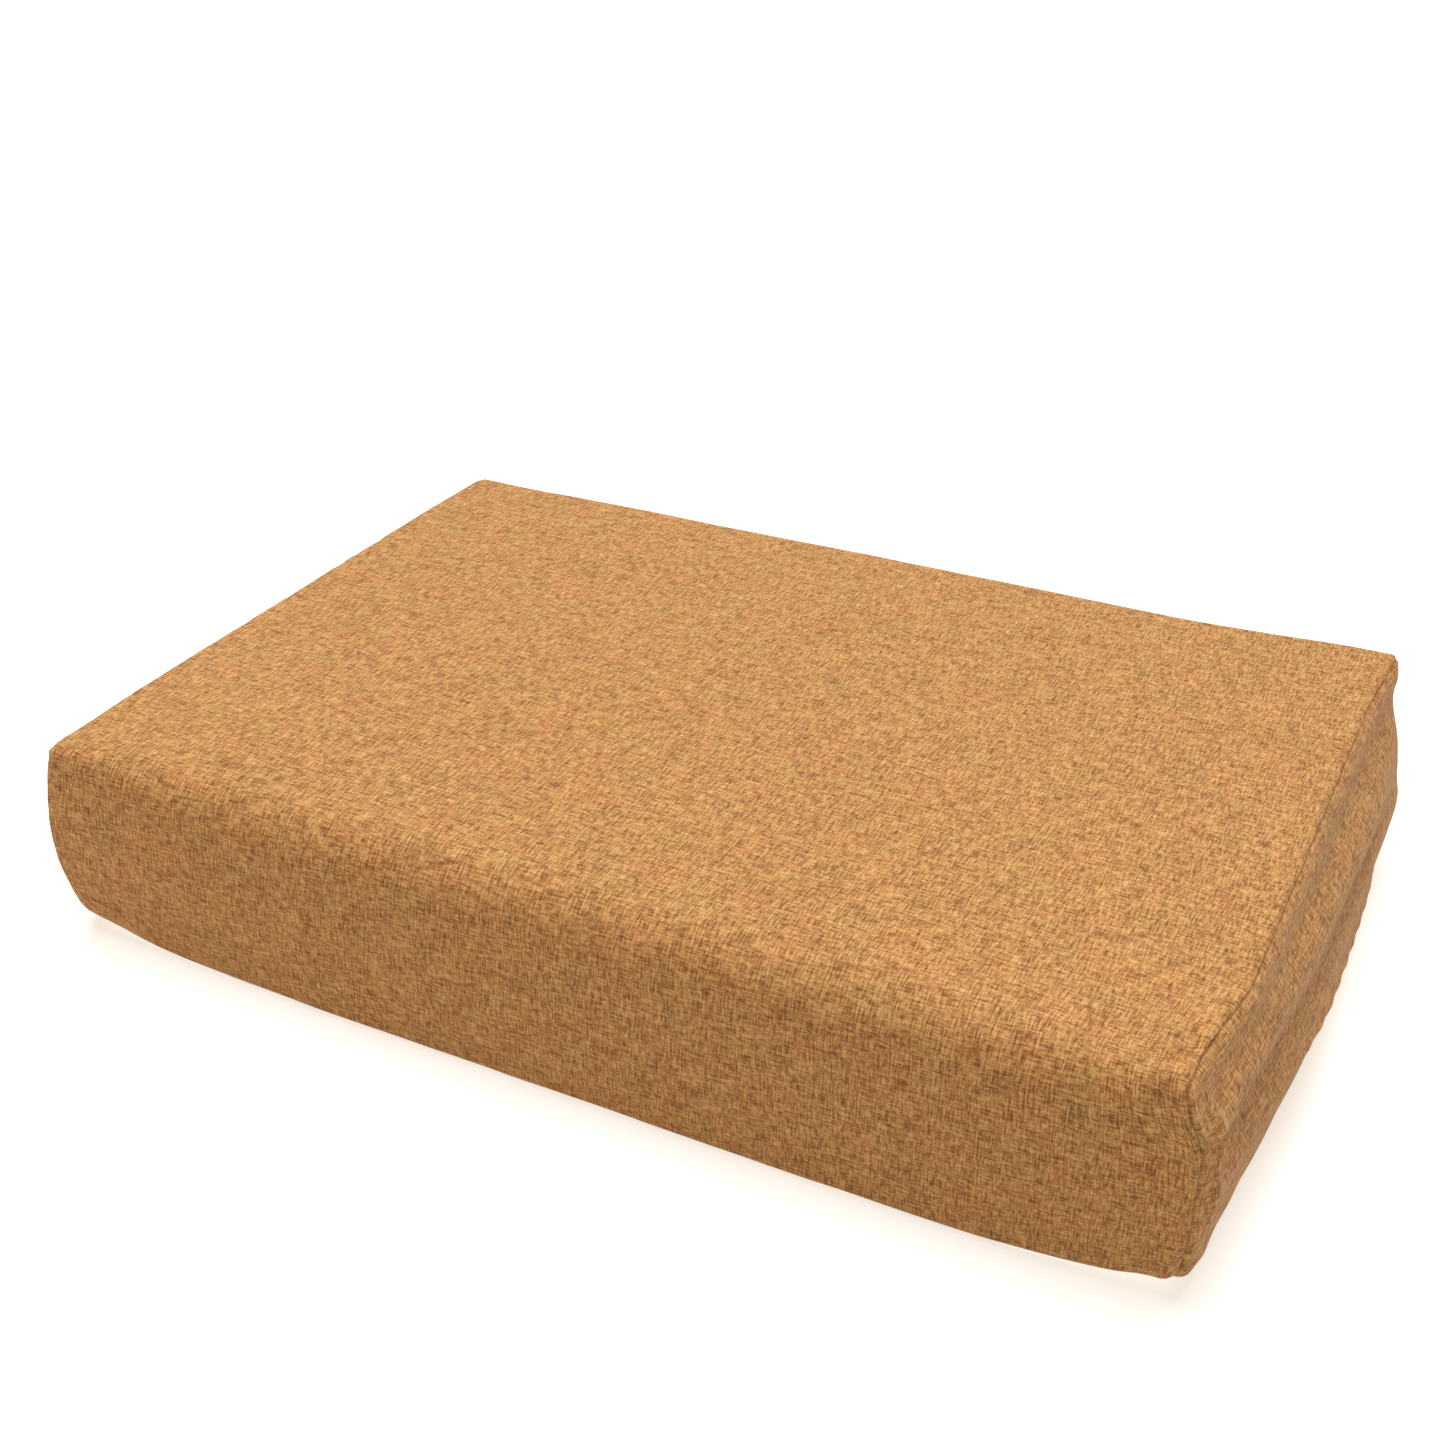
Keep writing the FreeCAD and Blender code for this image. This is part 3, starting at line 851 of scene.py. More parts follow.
def right_folds(y, z, fullness):
    """The loose right end: a lip below the seam, long slanting folds, and a low belly."""
    height = min(max((z - CLOTH) / (TOP - CLOTH), 0), 1)
    from_front, from_back = HALF_DEPTH + y, HALF_DEPTH - y
    free_front = ramp(from_front, 0, RIGHT_FREE_FRONT)
    free = free_front * ramp(from_back, 0, RIGHT_FREE_BACK)
    share = FRONT_SHARE + (1 - FRONT_SHARE) * ramp(from_front, 0, FULL_FROM_FRONT)
    out = fullness * share * free * math.sin(math.pi * height ** LOW_BELLY)
    lip_free = free_front * ramp(from_back, 0, LIP_FREE_BACK)
    for (below, width, stand), loose in ((LIP, lip_free), (GROOVE, free)):
        out += stand * loose * hump(z - (TOP - below), width)
    # A broad fold falls gently from the front seam to the back, over a valley and a thin crease.
    folds = ramp(from_front, *FOLDS_FRONT) * ramp(from_back, *FOLDS_BACK)
    broad = z - fold_line(y, *BROAD_LINE)
    rise = BROAD_RISE * folds * hump(broad, BROAD_WIDTH)
    out += rise - VALLEY_DEPTH * folds * hump(broad + VALLEY_DROP, VALLEY_WIDTH)
    thin = z - fold_line(y, *THIN_LINE)
    out += THIN_RISE * folds * math.exp(-abs(thin) / THIN_WIDTH) * ramp(z, 2 * MM, 12 * MM)
    # A ridge runs down close behind the front seam.
    ridge = from_front - (RIDGE_INSET + RIDGE_LEAN * max(z - RIDGE_FOOT, 0))
    ridge_ends = (ramp(z, 15 * MM, 40 * MM), ramp(TOP - z, 8 * MM, 24 * MM))
    out += RIDGE_RISE * hump(ridge, RIDGE_WIDTH) * ridge_ends[0] * ridge_ends[1]
    out += 1.0 * MM * free * wander(y / (120 * MM), (z + 0.13 * y) / (13 * MM), 2.0)
    return out


def left_folds(y, z, fullness):
    """The fuller, smoother left end."""
    height = (z - CLOTH) / (TOP - CLOTH)
    edge = ramp(HALF_DEPTH - abs(y), 0, 45 * MM)
    out = fullness * edge * math.sin(math.pi * min(max(height, 0), 1) ** 0.8)
    out += 2.2 * MM * edge * hump(z - (TOP - 12 * MM), 9 * MM)
    return out + 1.6 * MM * edge * wander(y / (80 * MM), z / (14 * MM), 6.0)


def settling_block():
    """A copy of the core's shape, which the end panels settle against."""
    bm = bmesh.new()
    bmesh.ops.create_cube(bm, size=1.0)
    inset = 3 * MM
    size = Vector((2 * (HALF_LENGTH - inset), 2 * (HALF_DEPTH - inset), TOP - 2 * inset))
    bmesh.ops.scale(bm, vec=size, verts=bm.verts)
    bmesh.ops.translate(bm, vec=(0, 0, TOP / 2), verts=bm.verts)
    bmesh.ops.subdivide_edges(bm, edges=bm.edges, cuts=24, use_grid_fill=True)
    for vert in bm.verts:
        x, y, z = vert.co
        y, z = rolled(x, y, z, HALF_DEPTH - inset, TOP - inset, inset)
        vert.co = shaped(Vector((x, y, z)))
    mesh = bpy.data.meshes.new("settling block")
    fill_mesh(mesh, bm)
    block = new_object("settling block", mesh)
    block.modifiers.new("collision", "COLLISION")
    block.collision.thickness_outer = 1 * MM
    return block


SETTLING_FRAMES = 18
MOST_SETTLING = 1.4 * MM    # movement is softly capped here, so that the planned folds stay


def settle(piece, held, frames):
    """Let loose cloth sink from its held edges, and keep the shape it comes to."""
    group = piece.vertex_groups.new(name="held")
    group.add(held, 1.0, "REPLACE")
    cloth = piece.modifiers.new("settling", "CLOTH")
    settings = cloth.settings
    settings.quality = 8
    settings.mass = 0.05
    settings.tension_stiffness = 20
    settings.compression_stiffness = 20
    settings.shear_stiffness = 5
    settings.bending_stiffness = 0.1
    settings.air_damping = 3
    settings.shrink_min = -0.012
    settings.vertex_group_mass = "held"
    cloth.collision_settings.distance_min = 1.5 * MM
    cloth.collision_settings.collision_quality = 3
    cloth.point_cache.frame_end = frames
    scene = bpy.context.scene
    for number in range(1, frames + 1):
        scene.frame_set(number)
    settled = piece.evaluated_get(bpy.context.evaluated_depsgraph_get())
    places = [vert.co.copy() for vert in settled.data.vertices]
    piece.modifiers.remove(cloth)
    piece.vertex_groups.remove(group)
    for vert, place in zip(piece.data.vertices, places):
        move = place - vert.co
        vert.co += move / (1 + move.length / MOST_SETTLING)
    scene.frame_set(1)


def build_end(side, material):
    shape = bpy.context.scene.pet_bed_shape
    cloth = bpy.context.scene.pet_bed_cloth
    depth = cloth.seam_depth
    half, top = HALF_DEPTH - depth, TOP - depth
    height = top - CLOTH
    hand = "right" if side > 0 else "left"
    folds, fullness, roundness = {
        "right": (right_folds, shape.right_fullness, 2.6 * MM),
        "left": (left_folds, shape.left_fullness, 3 * MM),
    }[hand]
    near_seam = (0.5 * MM, 1.4 * MM)
    bm = cloth_panel(
        2 * half, height, cloth.end_grid,
        columns=[sign * (half - inset) for inset in near_seam for sign in (-1, 1)],
        rows=[height / 2 - inset for inset in near_seam],
    )
    for vert in bm.verts:
        y, z = vert.co.x, vert.co.y + CLOTH + height / 2
        inset = min(half - abs(y), top - z)
        out = folds(y, z, fullness)
        out *= ramp(inset, -2 * MM, 10 * MM) if inset > 1e-6 else 0.0
        out += (roundness - seam_dip(inset, roundness)) if z > CLOTH + 1e-6 else 0.0
        out += gather(y + z, inset, 8.8 * side) * ramp(inset, 0, 2 * MM)
        y, z = rolled(side * HALF_LENGTH, y, z, half, top, depth)
        vert.co = shaped(Vector((side * HALF_LENGTH, y, z))) + Vector((side * out, 0, 0))
    if side < 0:
        bmesh.ops.reverse_faces(bm, faces=bm.faces)
    held = [vert.index for vert in bm.verts if vert.is_boundary]
    piece = make_object("end_panel_" + hand, bm, material)
    block = settling_block()
    settle(piece, held, SETTLING_FRAMES)
    bpy.data.objects.remove(block)
    bm = bmesh.new()
    bm.from_mesh(piece.data)
    turn_in(
        bm, cloth.seam_turn,
        lambda place: Vector((-side * 0.7, -place.y, (TOP / 2 - place.z) * 2)).normalized(),
    )
    fill_mesh(piece.data, bm)
    thicken(piece, cloth.thickness, levels=1)
    return place_on(piece, "cover_cloth", "cover_side_" + hand)


# ---- back strip and base
def build_back_strip(material):
    cloth = bpy.context.scene.pet_bed_cloth
    depth = cloth.seam_depth
    height = ZIP_HEIGHT - CLOTH
    bm, sewn, window = hemmed_panel(height)
    for vert in bm.verts:
        x, z = vert.co.x, vert.co.y + height / 2 + CLOTH
        inset = HALF_LENGTH - abs(x)
        from_fold = window - vert.co.y
        relief = -seam_dip(inset, depth)
        relief -= abs(gather(z, inset, 6.1))
        relief += 0.3 * MM * (wander(x / (60 * MM), z / (30 * MM), 8.1) - 0.5)
        if abs(x) < ZIP_HALF + 2 * MM:
            relief += folded_hem(from_fold)
        vert.co = shaped(Vector((x, HALF_DEPTH, z))) + Vector((0, relief, 0))
    bmesh.ops.reverse_faces(bm, faces=bm.faces)

    def inwards(place):
        if abs(place.x) > HALF_LENGTH - 20 * MM and place.z > 4 * MM:
            return Vector((math.copysign(0.7, -place.x), -0.7, 0))
        return Vector((0, -1, 0.4)).normalized()

    turn_in(bm, cloth.seam_turn, inwards, lambda edge: edge in sewn)
    piece = make_object("back_strip_cloth", bm, material)
    thicken(piece, cloth.thickness)
    return place_on(piece, "cover_cloth", "cover_back_strip")


DOT_HEIGHT = 0.4 * MM


def build_base(material):
    cloth = bpy.context.scene.pet_bed_cloth
    inset = 1.6 * MM
    edge_rows = (0.6 * MM, 2 * MM, 6 * MM)
    bm = cloth_panel(
        2 * (HALF_LENGTH - inset), 2 * (HALF_DEPTH - inset), 3 * cloth.grid,
        columns=[s * (HALF_LENGTH - inset - row) for row in edge_rows for s in (-1, 1)],
        rows=[s * (HALF_DEPTH - inset - row) for row in edge_rows for s in (-1, 1)],
    )
    for vert in bm.verts:
        x, y = vert.co.x, vert.co.y
        front = ramp(-y, HALF_DEPTH - 8 * MM, HALF_DEPTH - inset)
        place = shaped(Vector((x, y, 0)))
        place.y -= 1.2 * MM * front * hem_show(x)
        place.z += DOT_HEIGHT
        vert.co = place
    bmesh.ops.reverse_faces(bm, faces=bm.faces)
    piece = make_object("base_panel_cloth", bm, material)
    thicken(piece, 0.8 * MM)
    return place_on(piece, "base_cloth", "cover_base_panel")


DOT_PITCH = 14 * MM
DOT_RADIUS = 1.6 * MM


def build_grip_dots(material):
    """Low drops of soft PVC in staggered rows on the underside."""
    bm = bmesh.new()
    drop = bmesh.ops.create_cone(
        bm, cap_ends=True, segments=8, radius1=0.7 * DOT_RADIUS, radius2=DOT_RADIUS,
        depth=DOT_HEIGHT,
    )
    bmesh.ops.translate(bm, vec=(0, 0, DOT_HEIGHT / 2), verts=drop["verts"])
    columns = int((HALF_LENGTH - DOT_PITCH) / DOT_PITCH)
    rows = int((HALF_DEPTH - DOT_PITCH) / (DOT_PITCH / 2))
    drops = bm.faces[:]
    for column in range(-columns, columns + 1):
        if column:
            copy_by(bm, drops, (column * DOT_PITCH, 0, 0))
    line = bm.faces[:]
    for row in range(-rows, rows + 1):
        if row:
            copy_by(bm, line, (row % 2 * DOT_PITCH / 2, row * DOT_PITCH / 2, 0))
    for vert in bm.verts:
        x, y, z = vert.co
        vert.co = shaped(Vector((x, y, 0))) + Vector((0, 0, z))
    piece = make_object("base_grip_dots", bm, material)
    return place_on(piece, "base_cloth")


# ---- liner and core
LINER_ROUND = 14 * MM


def soften_ends(place, half_length, top):
    """Round the upper edges along the end outlines."""
    x, z = rounded(place.x, place.z, half_length, top, LINER_ROUND)
    return Vector((x, place.y, z))


def build_liner_wrap(material):
    """One long panel of undyed cloth round the foam, closed along the bottom."""
    half = LINER_HIGH.x
    inset = (HALF_DEPTH + LINER_LOW.y) + 0.4 * MM
    top, floor = LINER_HIGH.z - 0.3 * MM, LINER_LOW.z + 0.6 * MM
    half_depth = HALF_DEPTH - inset
    girth = 2 * (2 * half_depth + top - floor)
    bm = cloth_panel(2 * half, girth, 9 * MM)
    wall, width = top - floor, 2 * half_depth
    for vert in bm.verts:
        x, distance = vert.co.x, vert.co.y + girth / 2
        if distance <= wall:
            y, z = -half_depth, floor + distance
        elif distance <= wall + width:
            y, z = distance - wall - half_depth, top
        elif distance <= wall + width + wall:
            y, z = half_depth, top - (distance - wall - width)
        else:
            y, z = half_depth - (distance - (wall + width + wall)), floor
        y = min(y, LINER_HIGH.y - 0.4 * MM)
        bent_y, bent_z = rolled(x, y, z, half_depth, top, inset - 8 * MM)
        place = soften_ends(Vector((x, bent_y, bent_z)), half, top)
        crease = 0.35 * MM * (wander(x / (35 * MM), distance / (40 * MM), 4.2) - 1)
        if z > top - 1e-6:
            place.z += crease
        vert.co = shaped(place)
    bmesh.ops.remove_doubles(bm, verts=bm.verts, dist=0.05 * MM)
    bmesh.ops.recalc_face_normals(bm, faces=bm.faces)
    piece = make_object("liner_wrap_cloth", bm, material)
    thicken(piece, 0.35 * MM)
    return place_on(piece, "liner_cloth", "liner_wrap")


def build_liner_end(side, material):
    hand = "right" if side > 0 else "left"
    node = "liner_end_" + hand
    low, high = corners(node)
    outer = high.x if side > 0 else -low.x
    half_y = (high.y - low.y) / 2 - 3 * MM
    middle_y = (high.y + low.y) / 2
    floor, top = low.z + 1.5 * MM, high.z - 3 * MM
    height = top - floor
    bm = cloth_panel(2 * half_y, height, 7 * MM)
    for vert in bm.verts:
        y, z = vert.co.x + middle_y, vert.co.y + floor + height / 2
        y, z = rolled(side * outer, y, z, HALF_DEPTH - 6 * MM, top, -8 * MM)
        crease = 0.3 * MM * (wander(y / (30 * MM), z / (20 * MM), 1.4 * side) - 1)
        vert.co = shaped(Vector((side * (outer + crease), y, z)))
    if side < 0:
        bmesh.ops.reverse_faces(bm, faces=bm.faces)
    piece = make_object("liner_end_cloth_" + hand, bm, material)
    thicken(piece, 0.35 * MM)
    return place_on(piece, "liner_cloth", node)


def build_foam(name, node, slot, material):
    """A cut foam layer with softened edges, filling the cover's shape."""
    low, high = corners(node)
    trim = Vector((2.2, 2.2, 0.6)) * MM
    low, high = low + trim, high - trim
    bm = bmesh.new()
    bmesh.ops.create_cube(bm, size=1.0)
    bmesh.ops.scale(bm, vec=high - low, verts=bm.verts)
    bmesh.ops.translate(bm, vec=(low + high) / 2, verts=bm.verts)
    edge_rows = [step * MM for step in (3, 7, 12, 18, 26, 40, 60, 90, 130, 170)]
    slice_at(bm, Vector((1, 0, 0)), [s * (high.x - row) for row in edge_rows for s in (-1, 1)])
    slice_at(bm, Vector((0, 1, 0)), [low.y + row for row in edge_rows])
    slice_at(bm, Vector((0, 1, 0)), [high.y - row for row in edge_rows])
    layers = max(3, round((high.z - low.z) / (5 * MM)))
    slice_at(bm, Vector((0, 0, 1)), [
        low.z + (high.z - low.z) * step / layers for step in range(1, layers)
    ])
    top = TOP - 3.2 * MM
    for vert in bm.verts:
        y, z = rolled(vert.co.x, vert.co.y, vert.co.z, HALF_DEPTH - 4.5 * MM, top, -6 * MM)
        place = soften_ends(Vector((vert.co.x, y, z)), high.x, top)
        vert.co = shaped(place)
    piece = make_object(name, bm, material)
    soft = piece.modifiers.new("soft edges", "BEVEL")
    soft.width = 1.5 * MM
    soft.segments = 2
    soft.limit_method = "ANGLE"
    return place_on(piece, slot, node)


# ---- the zip
def build_tape(name, node, material):
    """A woven tape with a raised edge rib where the coil is sewn on."""
    low, high = corners(node)
    width, height = high.x - low.x, high.z - low.z
    rib = low.z if "upper" in node else high.z
    bm = cloth_panel(width, height, 2.2 * MM)
    for vert in bm.verts:
        x, z = vert.co.x + (low.x + high.x) / 2, vert.co.y + (low.z + high.z) / 2
        raised = 0.12 * MM * hump(abs(z - rib) - 2.6 * MM, 0.8 * MM)
        vert.co = Vector((x, high.y - 0.15 * MM + raised, z))
    bmesh.ops.reverse_faces(bm, faces=bm.faces)
    piece = make_object(name, bm, material)
    thicken(piece, 0.4 * MM)
    return place_on(piece, "zip_tape", node)


WIRE_RADIUS = 0.3 * MM
HEAD_REACH = 0.25 * MM


def build_coil(name, node, towards, material):
    """One half of the chain: a row of flattened turns of nylon wire."""
    pitch = bpy.context.scene.pet_bed_cloth.tooth_pitch
    low, high = corners(node)
    bm = bmesh.new()
    half = Vector((0, (high.y - low.y) / 2, (high.z - low.z + HEAD_REACH) / 2))
    bmesh.ops.create_circle(bm, cap_ends=False, segments=6, radius=WIRE_RADIUS)
    bmesh.ops.translate(bm, vec=(0, half.y - WIRE_RADIUS, 0), verts=bm.verts)
    bmesh.ops.spin(
        bm, geom=bm.verts[:] + bm.edges[:], cent=(0, 0, 0), axis=(1, 0, 0), angle=2 * math.pi,
        steps=10, use_merge=True, use_duplicate=False,
    )
    bmesh.ops.remove_doubles(bm, verts=bm.verts, dist=0.01 * MM)
    for vert in bm.verts:
        ring = math.hypot(vert.co.y, vert.co.z)
        stretch = 1 + (half.z - half.y) / max(ring, WIRE_RADIUS) * abs(vert.co.z) / max(ring, 1e-9)
        vert.co.z *= stretch
        # The head leans over, as a turn of a helix does.
        vert.co.x += 0.22 * MM * vert.co.y / half.y
    bmesh.ops.recalc_face_normals(bm, faces=bm.faces)
    offset = 0.0 if towards < 0 else pitch / 2
    start = Vector((
        low.x + pitch / 2 + offset,
        (low.y + high.y) / 2,
        (low.z + high.z) / 2 + towards * HEAD_REACH / 2,
    ))
    bmesh.ops.translate(bm, vec=start, verts=bm.verts)
    piece = make_object(name, bm, material)
    repeat(piece, int((high.x - low.x - pitch) / pitch), pitch)
    return place_on(piece, "zip_coil", node)


def build_stitches(name, height, material):
    """A row of topstitches through a hem beside the zip."""
    pitch = bpy.context.scene.pet_bed_cloth.stitch_pitch
    bm = bmesh.new()
    bmesh.ops.create_icosphere(bm, subdivisions=1, radius=1.0)
    bmesh.ops.scale(bm, vec=(0.42 * pitch, 0.28 * MM, 0.3 * MM), verts=bm.verts)
    count = int((2 * ZIP_HALF - 6 * MM) / pitch)
    start = Vector((-(count - 1) * pitch / 2, HALF_DEPTH + 0.42 * MM, height))
    bmesh.ops.translate(bm, vec=start, verts=bm.verts)
    piece = make_object(name, bm, material)
    repeat(piece, count, pitch)
    return place_on(piece, "cover_cloth")


def cast_copy(name, node, material, body):
    """A merged copy of a cast CAD piece, with the softened edges that tumbling leaves."""
    bm = bmesh.new()
    bm.from_mesh(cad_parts[node].data)
    bmesh.ops.remove_doubles(bm, verts=bm.verts, dist=0.001 * MM)
    bmesh.ops.dissolve_limit(
        bm, angle_limit=math.radians(1), verts=bm.verts, edges=bm.edges, delimit={"NORMAL"}
    )
    sharp = [
        edge for edge in bm.edges
        if len(edge.link_faces) == 2 and edge.calc_face_angle() > math.radians(35)
    ]
    bmesh.ops.bevel(
        bm, geom=sharp, offset=0.16 * MM, segments=3, profile=0.5, affect="EDGES", material=-1,
        clamp_overlap=True,
    )
    piece = make_object(name, bm, material)
    return place_on(piece, "zip_metal", node, body=body)


def build_label(material):
    """A blank satin label, sewn into the corner seam and lying on the back strip."""
    width, height = LABEL_HIGH.x - LABEL_LOW.x, LABEL_HIGH.z - LABEL_LOW.z
    bm = cloth_panel(width, height, 1.6 * MM)
    for vert in bm.verts:
        x = vert.co.x + (LABEL_LOW.x + LABEL_HIGH.x) / 2
        z = vert.co.y + (LABEL_LOW.z + LABEL_HIGH.z) / 2
        free = (LABEL_HIGH.x - x) / width
        curl = 2.2 * MM * free ** 2 + 0.5 * MM * free * math.sin(z / (5 * MM))
        place = shaped(Vector((x, HALF_DEPTH, z - 0.8 * MM * free ** 2)))
        vert.co = place + Vector((0, LABEL_HIGH.y - HALF_DEPTH + 0.15 * MM + curl, 0))
    bmesh.ops.reverse_faces(bm, faces=bm.faces)
    piece = make_object("care_label_satin", bm, material)
    thicken(piece, 0.3 * MM)
    return place_on(piece, "label_satin", "care_label")


# ---- studio
def build_camera(studio):
    azimuth, elevation = studio.azimuth, studio.elevation
    back = Vector((
        math.sin(azimuth) * math.cos(elevation),
        -math.cos(azimuth) * math.cos(elevation),
        math.sin(elevation),
    ))
    right = Vector((math.cos(azimuth), math.sin(azimuth), 0))
    up = back.cross(right)
    camera = new_object("camera", bpy.data.cameras.new("camera"))
    camera.location = back * studio.distance + right * studio.aim_right + up * studio.aim_up
    camera.rotation_euler = back.to_track_quat("Z", "Y").to_euler()
    camera.data.lens = studio.lens
    camera.data.clip_end = 50
    bpy.context.scene.camera = camera


def add_light(name, kind, place, target, power, size, hex_colour):
    """A lamp aimed at a target; size is a softbox's side, or the sun's angle in degrees."""
    data = bpy.data.lights.new(name, kind)
    data.energy = power
    data.color = linear(hex_colour)[:3]
    if kind == "SUN":
        data.angle = math.radians(size)
    else:
        data.size = size
    light = new_object(name, data)
    light.location = place
    light.rotation_euler = (Vector(place) - Vector(target)).to_track_quat("Z", "Y").to_euler()


def build_studio(studio):
    floor_bm = bmesh.new()
    bmesh.ops.create_grid(floor_bm, x_segments=1, y_segments=1, size=20)
    material, tree = new_material("backlit white acrylic")
    close_material(
        material, tree,
        {
            "Base Color": linear("B4B4B4"),
            "Roughness": 0.9,
            "Specular IOR Level": 0.1,
            "Emission Color": linear("FFF7EC"),
            "Emission Strength": 0.7,
        },
    )
    floor = make_object("floor", floor_bm, material)
    world = bpy.data.worlds.new("studio")
    world.use_nodes = True
    tree = world.node_tree
    tree.nodes.clear()
    # The room is dim, and its far wall is seen as plain white.
    seen = add_node(tree, "ShaderNodeLightPath").outputs["Is Camera Ray"]
    strength = add_node(
        tree, "ShaderNodeMapRange", inputs={"Value": seen, "To Min": 0.22, "To Max": 1.05}
    )
    background = add_node(
        tree, "ShaderNodeBackground",
        inputs={"Color": (1, 1, 1, 1), "Strength": strength.outputs["Result"]},
    )
    add_node(
        tree, "ShaderNodeOutputWorld", inputs={"Surface": background.outputs["Background"]}
    )
    bpy.context.scene.world = world
    add_light("overhead silk", "SUN", (-0.35, 0.5, 2), (0, 0, 0), 5.1, 50, "F8FCFF")
    add_light("front left fill", "AREA", (-1.3, -1.3, 0.6), (-0.1, -0.1, 0.05), 6, 0.7, "FFE0BC")
    add_light("right fill", "AREA", (1.4, 0.1, 0.35), (0.3, 0, 0.05), 1.2, 0.6, "FFE0BC")
    build_camera(studio)
    bpy.context.scene.view_settings.view_transform = "Standard"


# ---- operators
class PETBED_OT_wrap(bpy.types.Operator):
    """Lay the cover's front, top and back in one panel"""

    bl_idname = "petbed.wrap"
    bl_label = "Cover wrap"

    def execute(self, context):
        build_wrap(cover_material(context.scene))
        return {"FINISHED"}


class PETBED_OT_ends(bpy.types.Operator):
    """Sew in and settle the two end panels"""

    bl_idname = "petbed.ends"
    bl_label = "End panels"

    def execute(self, context):
        for side in (1, -1):
            build_end(side, cover_material(context.scene))
        return {"FINISHED"}


class PETBED_OT_back_strip(bpy.types.Operator):
    """Add the strip of cover cloth below the zip"""

    bl_idname = "petbed.back_strip"
    bl_label = "Back strip"

    def execute(self, context):
        build_back_strip(cover_material(context.scene))
        return {"FINISHED"}


class PETBED_OT_base(bpy.types.Operator):
    """Lay the pale base panel and its grip dots"""

    bl_idname = "petbed.base"
    bl_label = "Base panel"

    def execute(self, context):
        build_base(plain_cloth("anti-slip base cloth", "E9E6DF", "CFCBC0", 1.0 * MM))
        build_grip_dots(soft_pvc())
        return {"FINISHED"}


class PETBED_OT_liner(bpy.types.Operator):
    """Wrap the core in its undyed liner"""

    bl_idname = "petbed.liner"
    bl_label = "Liner"

    def execute(self, context):
        material = plain_cloth("undyed polyester liner", "E4E0D6", "CDC8BB", 0.7 * MM)
        build_liner_wrap(material)
        for side in (1, -1):
            build_liner_end(side, material)
        return {"FINISHED"}


class PETBED_OT_core(bpy.types.Operator):
    """Stack the firm and the soft foam layer"""

    bl_idname = "petbed.core"
    bl_label = "Foam core"

    def execute(self, context):
        build_foam(
            "support_foam_block", "support_foam", "firm_foam",
            open_cell_foam("firm open-cell foam", "DEDBCB", "B9B5A2", 1.4 * MM),
        )
        build_foam(
            "comfort_foam_layer", "comfort_foam", "soft_foam",
            open_cell_foam("soft open-cell foam", "EBDFB4", "CDBD88", 1.1 * MM),
        )
        return {"FINISHED"}


class PETBED_OT_zip(bpy.types.Operator):
    """Lay the zip's tapes, coils, topstitching, slider and pull"""

    bl_idname = "petbed.zip"
    bl_label = "Zip"

    def execute(self, context):
        brown = context.scene.pet_bed_colours.zip_brown
        window = context.scene.pet_bed_cloth.zip_window
        tape, coil = zip_tape_weave(brown), nylon_monofilament(brown)
        build_tape("upper_zip_tape", "zip_tape_upper", tape)
        build_tape("lower_zip_tape", "zip_tape_lower", tape)
        build_coil("upper_coil_turns", "zip_coil_upper", -1, coil)
        build_coil("lower_coil_turns", "zip_coil_lower", 1, coil)
        thread = polyester_thread("9C6E3E")
        away = window / 2 + STITCH_INSET
        build_stitches("upper_topstitching", ZIP_HEIGHT + away, thread)
        build_stitches("lower_topstitching", ZIP_HEIGHT - away, thread)
        metal = plated_zinc()
        cast_copy("slider_casting", "zip_slider", metal, "slider")
        cast_copy("pull_tab_casting", "zip_pull_tab", metal, "pull_tab")
        return {"FINISHED"}


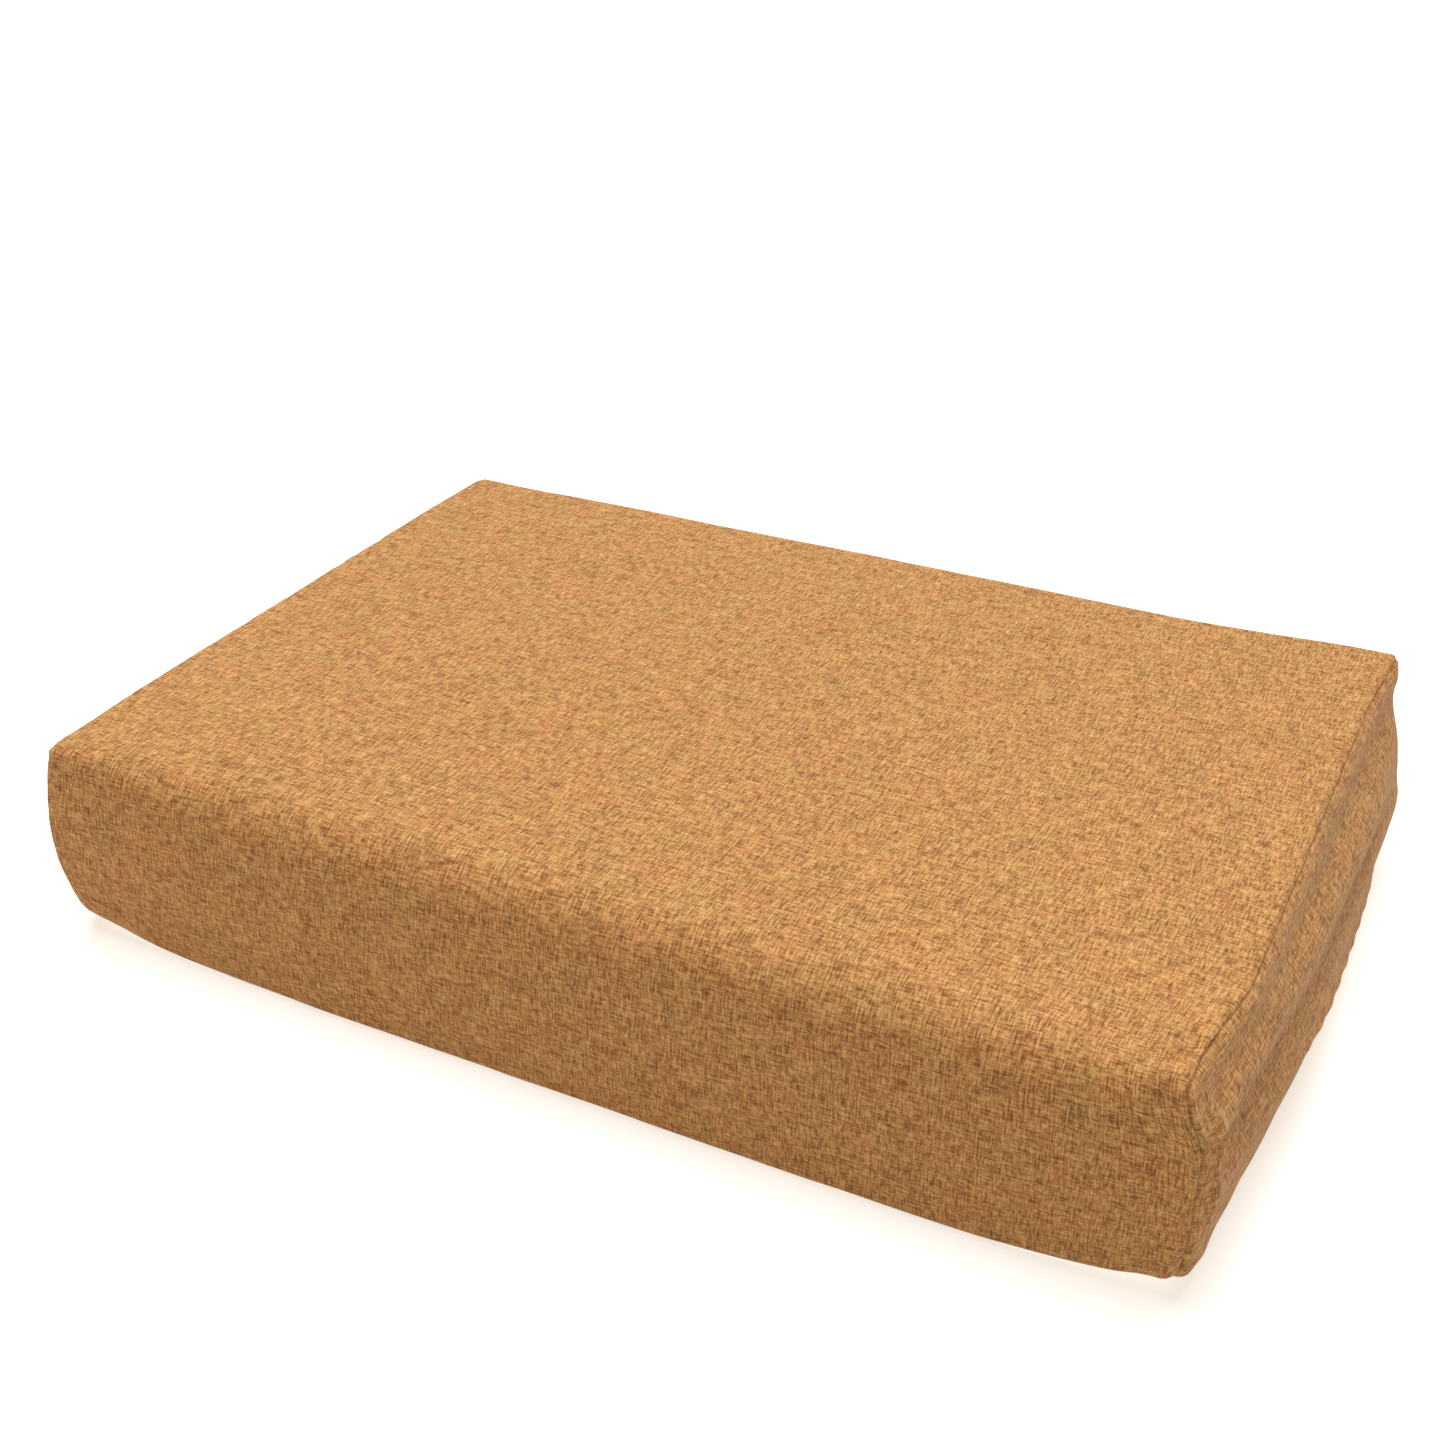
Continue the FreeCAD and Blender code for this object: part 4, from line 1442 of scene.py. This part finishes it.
class PETBED_OT_label(bpy.types.Operator):
    """Hang the blank care label from the corner seam"""

    bl_idname = "petbed.label"
    bl_label = "Care label"

    def execute(self, context):
        build_label(plain_cloth("woven satin label", "F0EEE8", "DEDBD2", 0.5 * MM, 0.05 * MM))
        return {"FINISHED"}


class PETBED_OT_studio(bpy.types.Operator):
    """Set the floor, lights and camera"""

    bl_idname = "petbed.studio"
    bl_label = "Studio"

    def execute(self, context):
        build_studio(context.scene.pet_bed_studio)
        return {"FINISHED"}


def cover_material(scene):
    """The cover's cloth, made once and shared by its panels."""
    name = "woven polyester, linen look"
    return bpy.data.materials.get(name) or woven_polyester(scene.pet_bed_colours)


class PETBED_PT_panel(bpy.types.Panel):
    """Buttons for each group of pieces"""

    bl_idname = "PETBED_PT_panel"
    bl_label = "Pet Cushion Bed"
    bl_space_type = "VIEW_3D"
    bl_region_type = "UI"
    bl_category = "Pet Bed"

    def draw(self, context):
        for operator in OPERATORS:
            self.layout.operator(operator.bl_idname)


OPERATORS = (
    PETBED_OT_wrap,
    PETBED_OT_ends,
    PETBED_OT_back_strip,
    PETBED_OT_base,
    PETBED_OT_liner,
    PETBED_OT_core,
    PETBED_OT_zip,
    PETBED_OT_label,
    PETBED_OT_studio,
)
SETTINGS = {
    "pet_bed_shape": PetBedShape,
    "pet_bed_cloth": PetBedCloth,
    "pet_bed_colours": PetBedColours,
    "pet_bed_studio": PetBedStudio,
}
CLASSES = (*SETTINGS.values(), *OPERATORS, PETBED_PT_panel)


def register():
    for item in CLASSES:
        bpy.utils.register_class(item)
    for name, group in SETTINGS.items():
        setattr(bpy.types.Scene, name, bpy.props.PointerProperty(type=group))


def unregister():
    for name in SETTINGS:
        delattr(bpy.types.Scene, name)
    for item in reversed(CLASSES):
        bpy.utils.unregister_class(item)


def main():
    register()
    bpy.ops.petbed.wrap()
    bpy.ops.petbed.ends()
    bpy.ops.petbed.back_strip()
    bpy.ops.petbed.base()
    bpy.ops.petbed.liner()
    bpy.ops.petbed.core()
    bpy.ops.petbed.zip()
    bpy.ops.petbed.label()
    bpy.ops.petbed.studio()


if __name__ == "__main__":
    main()
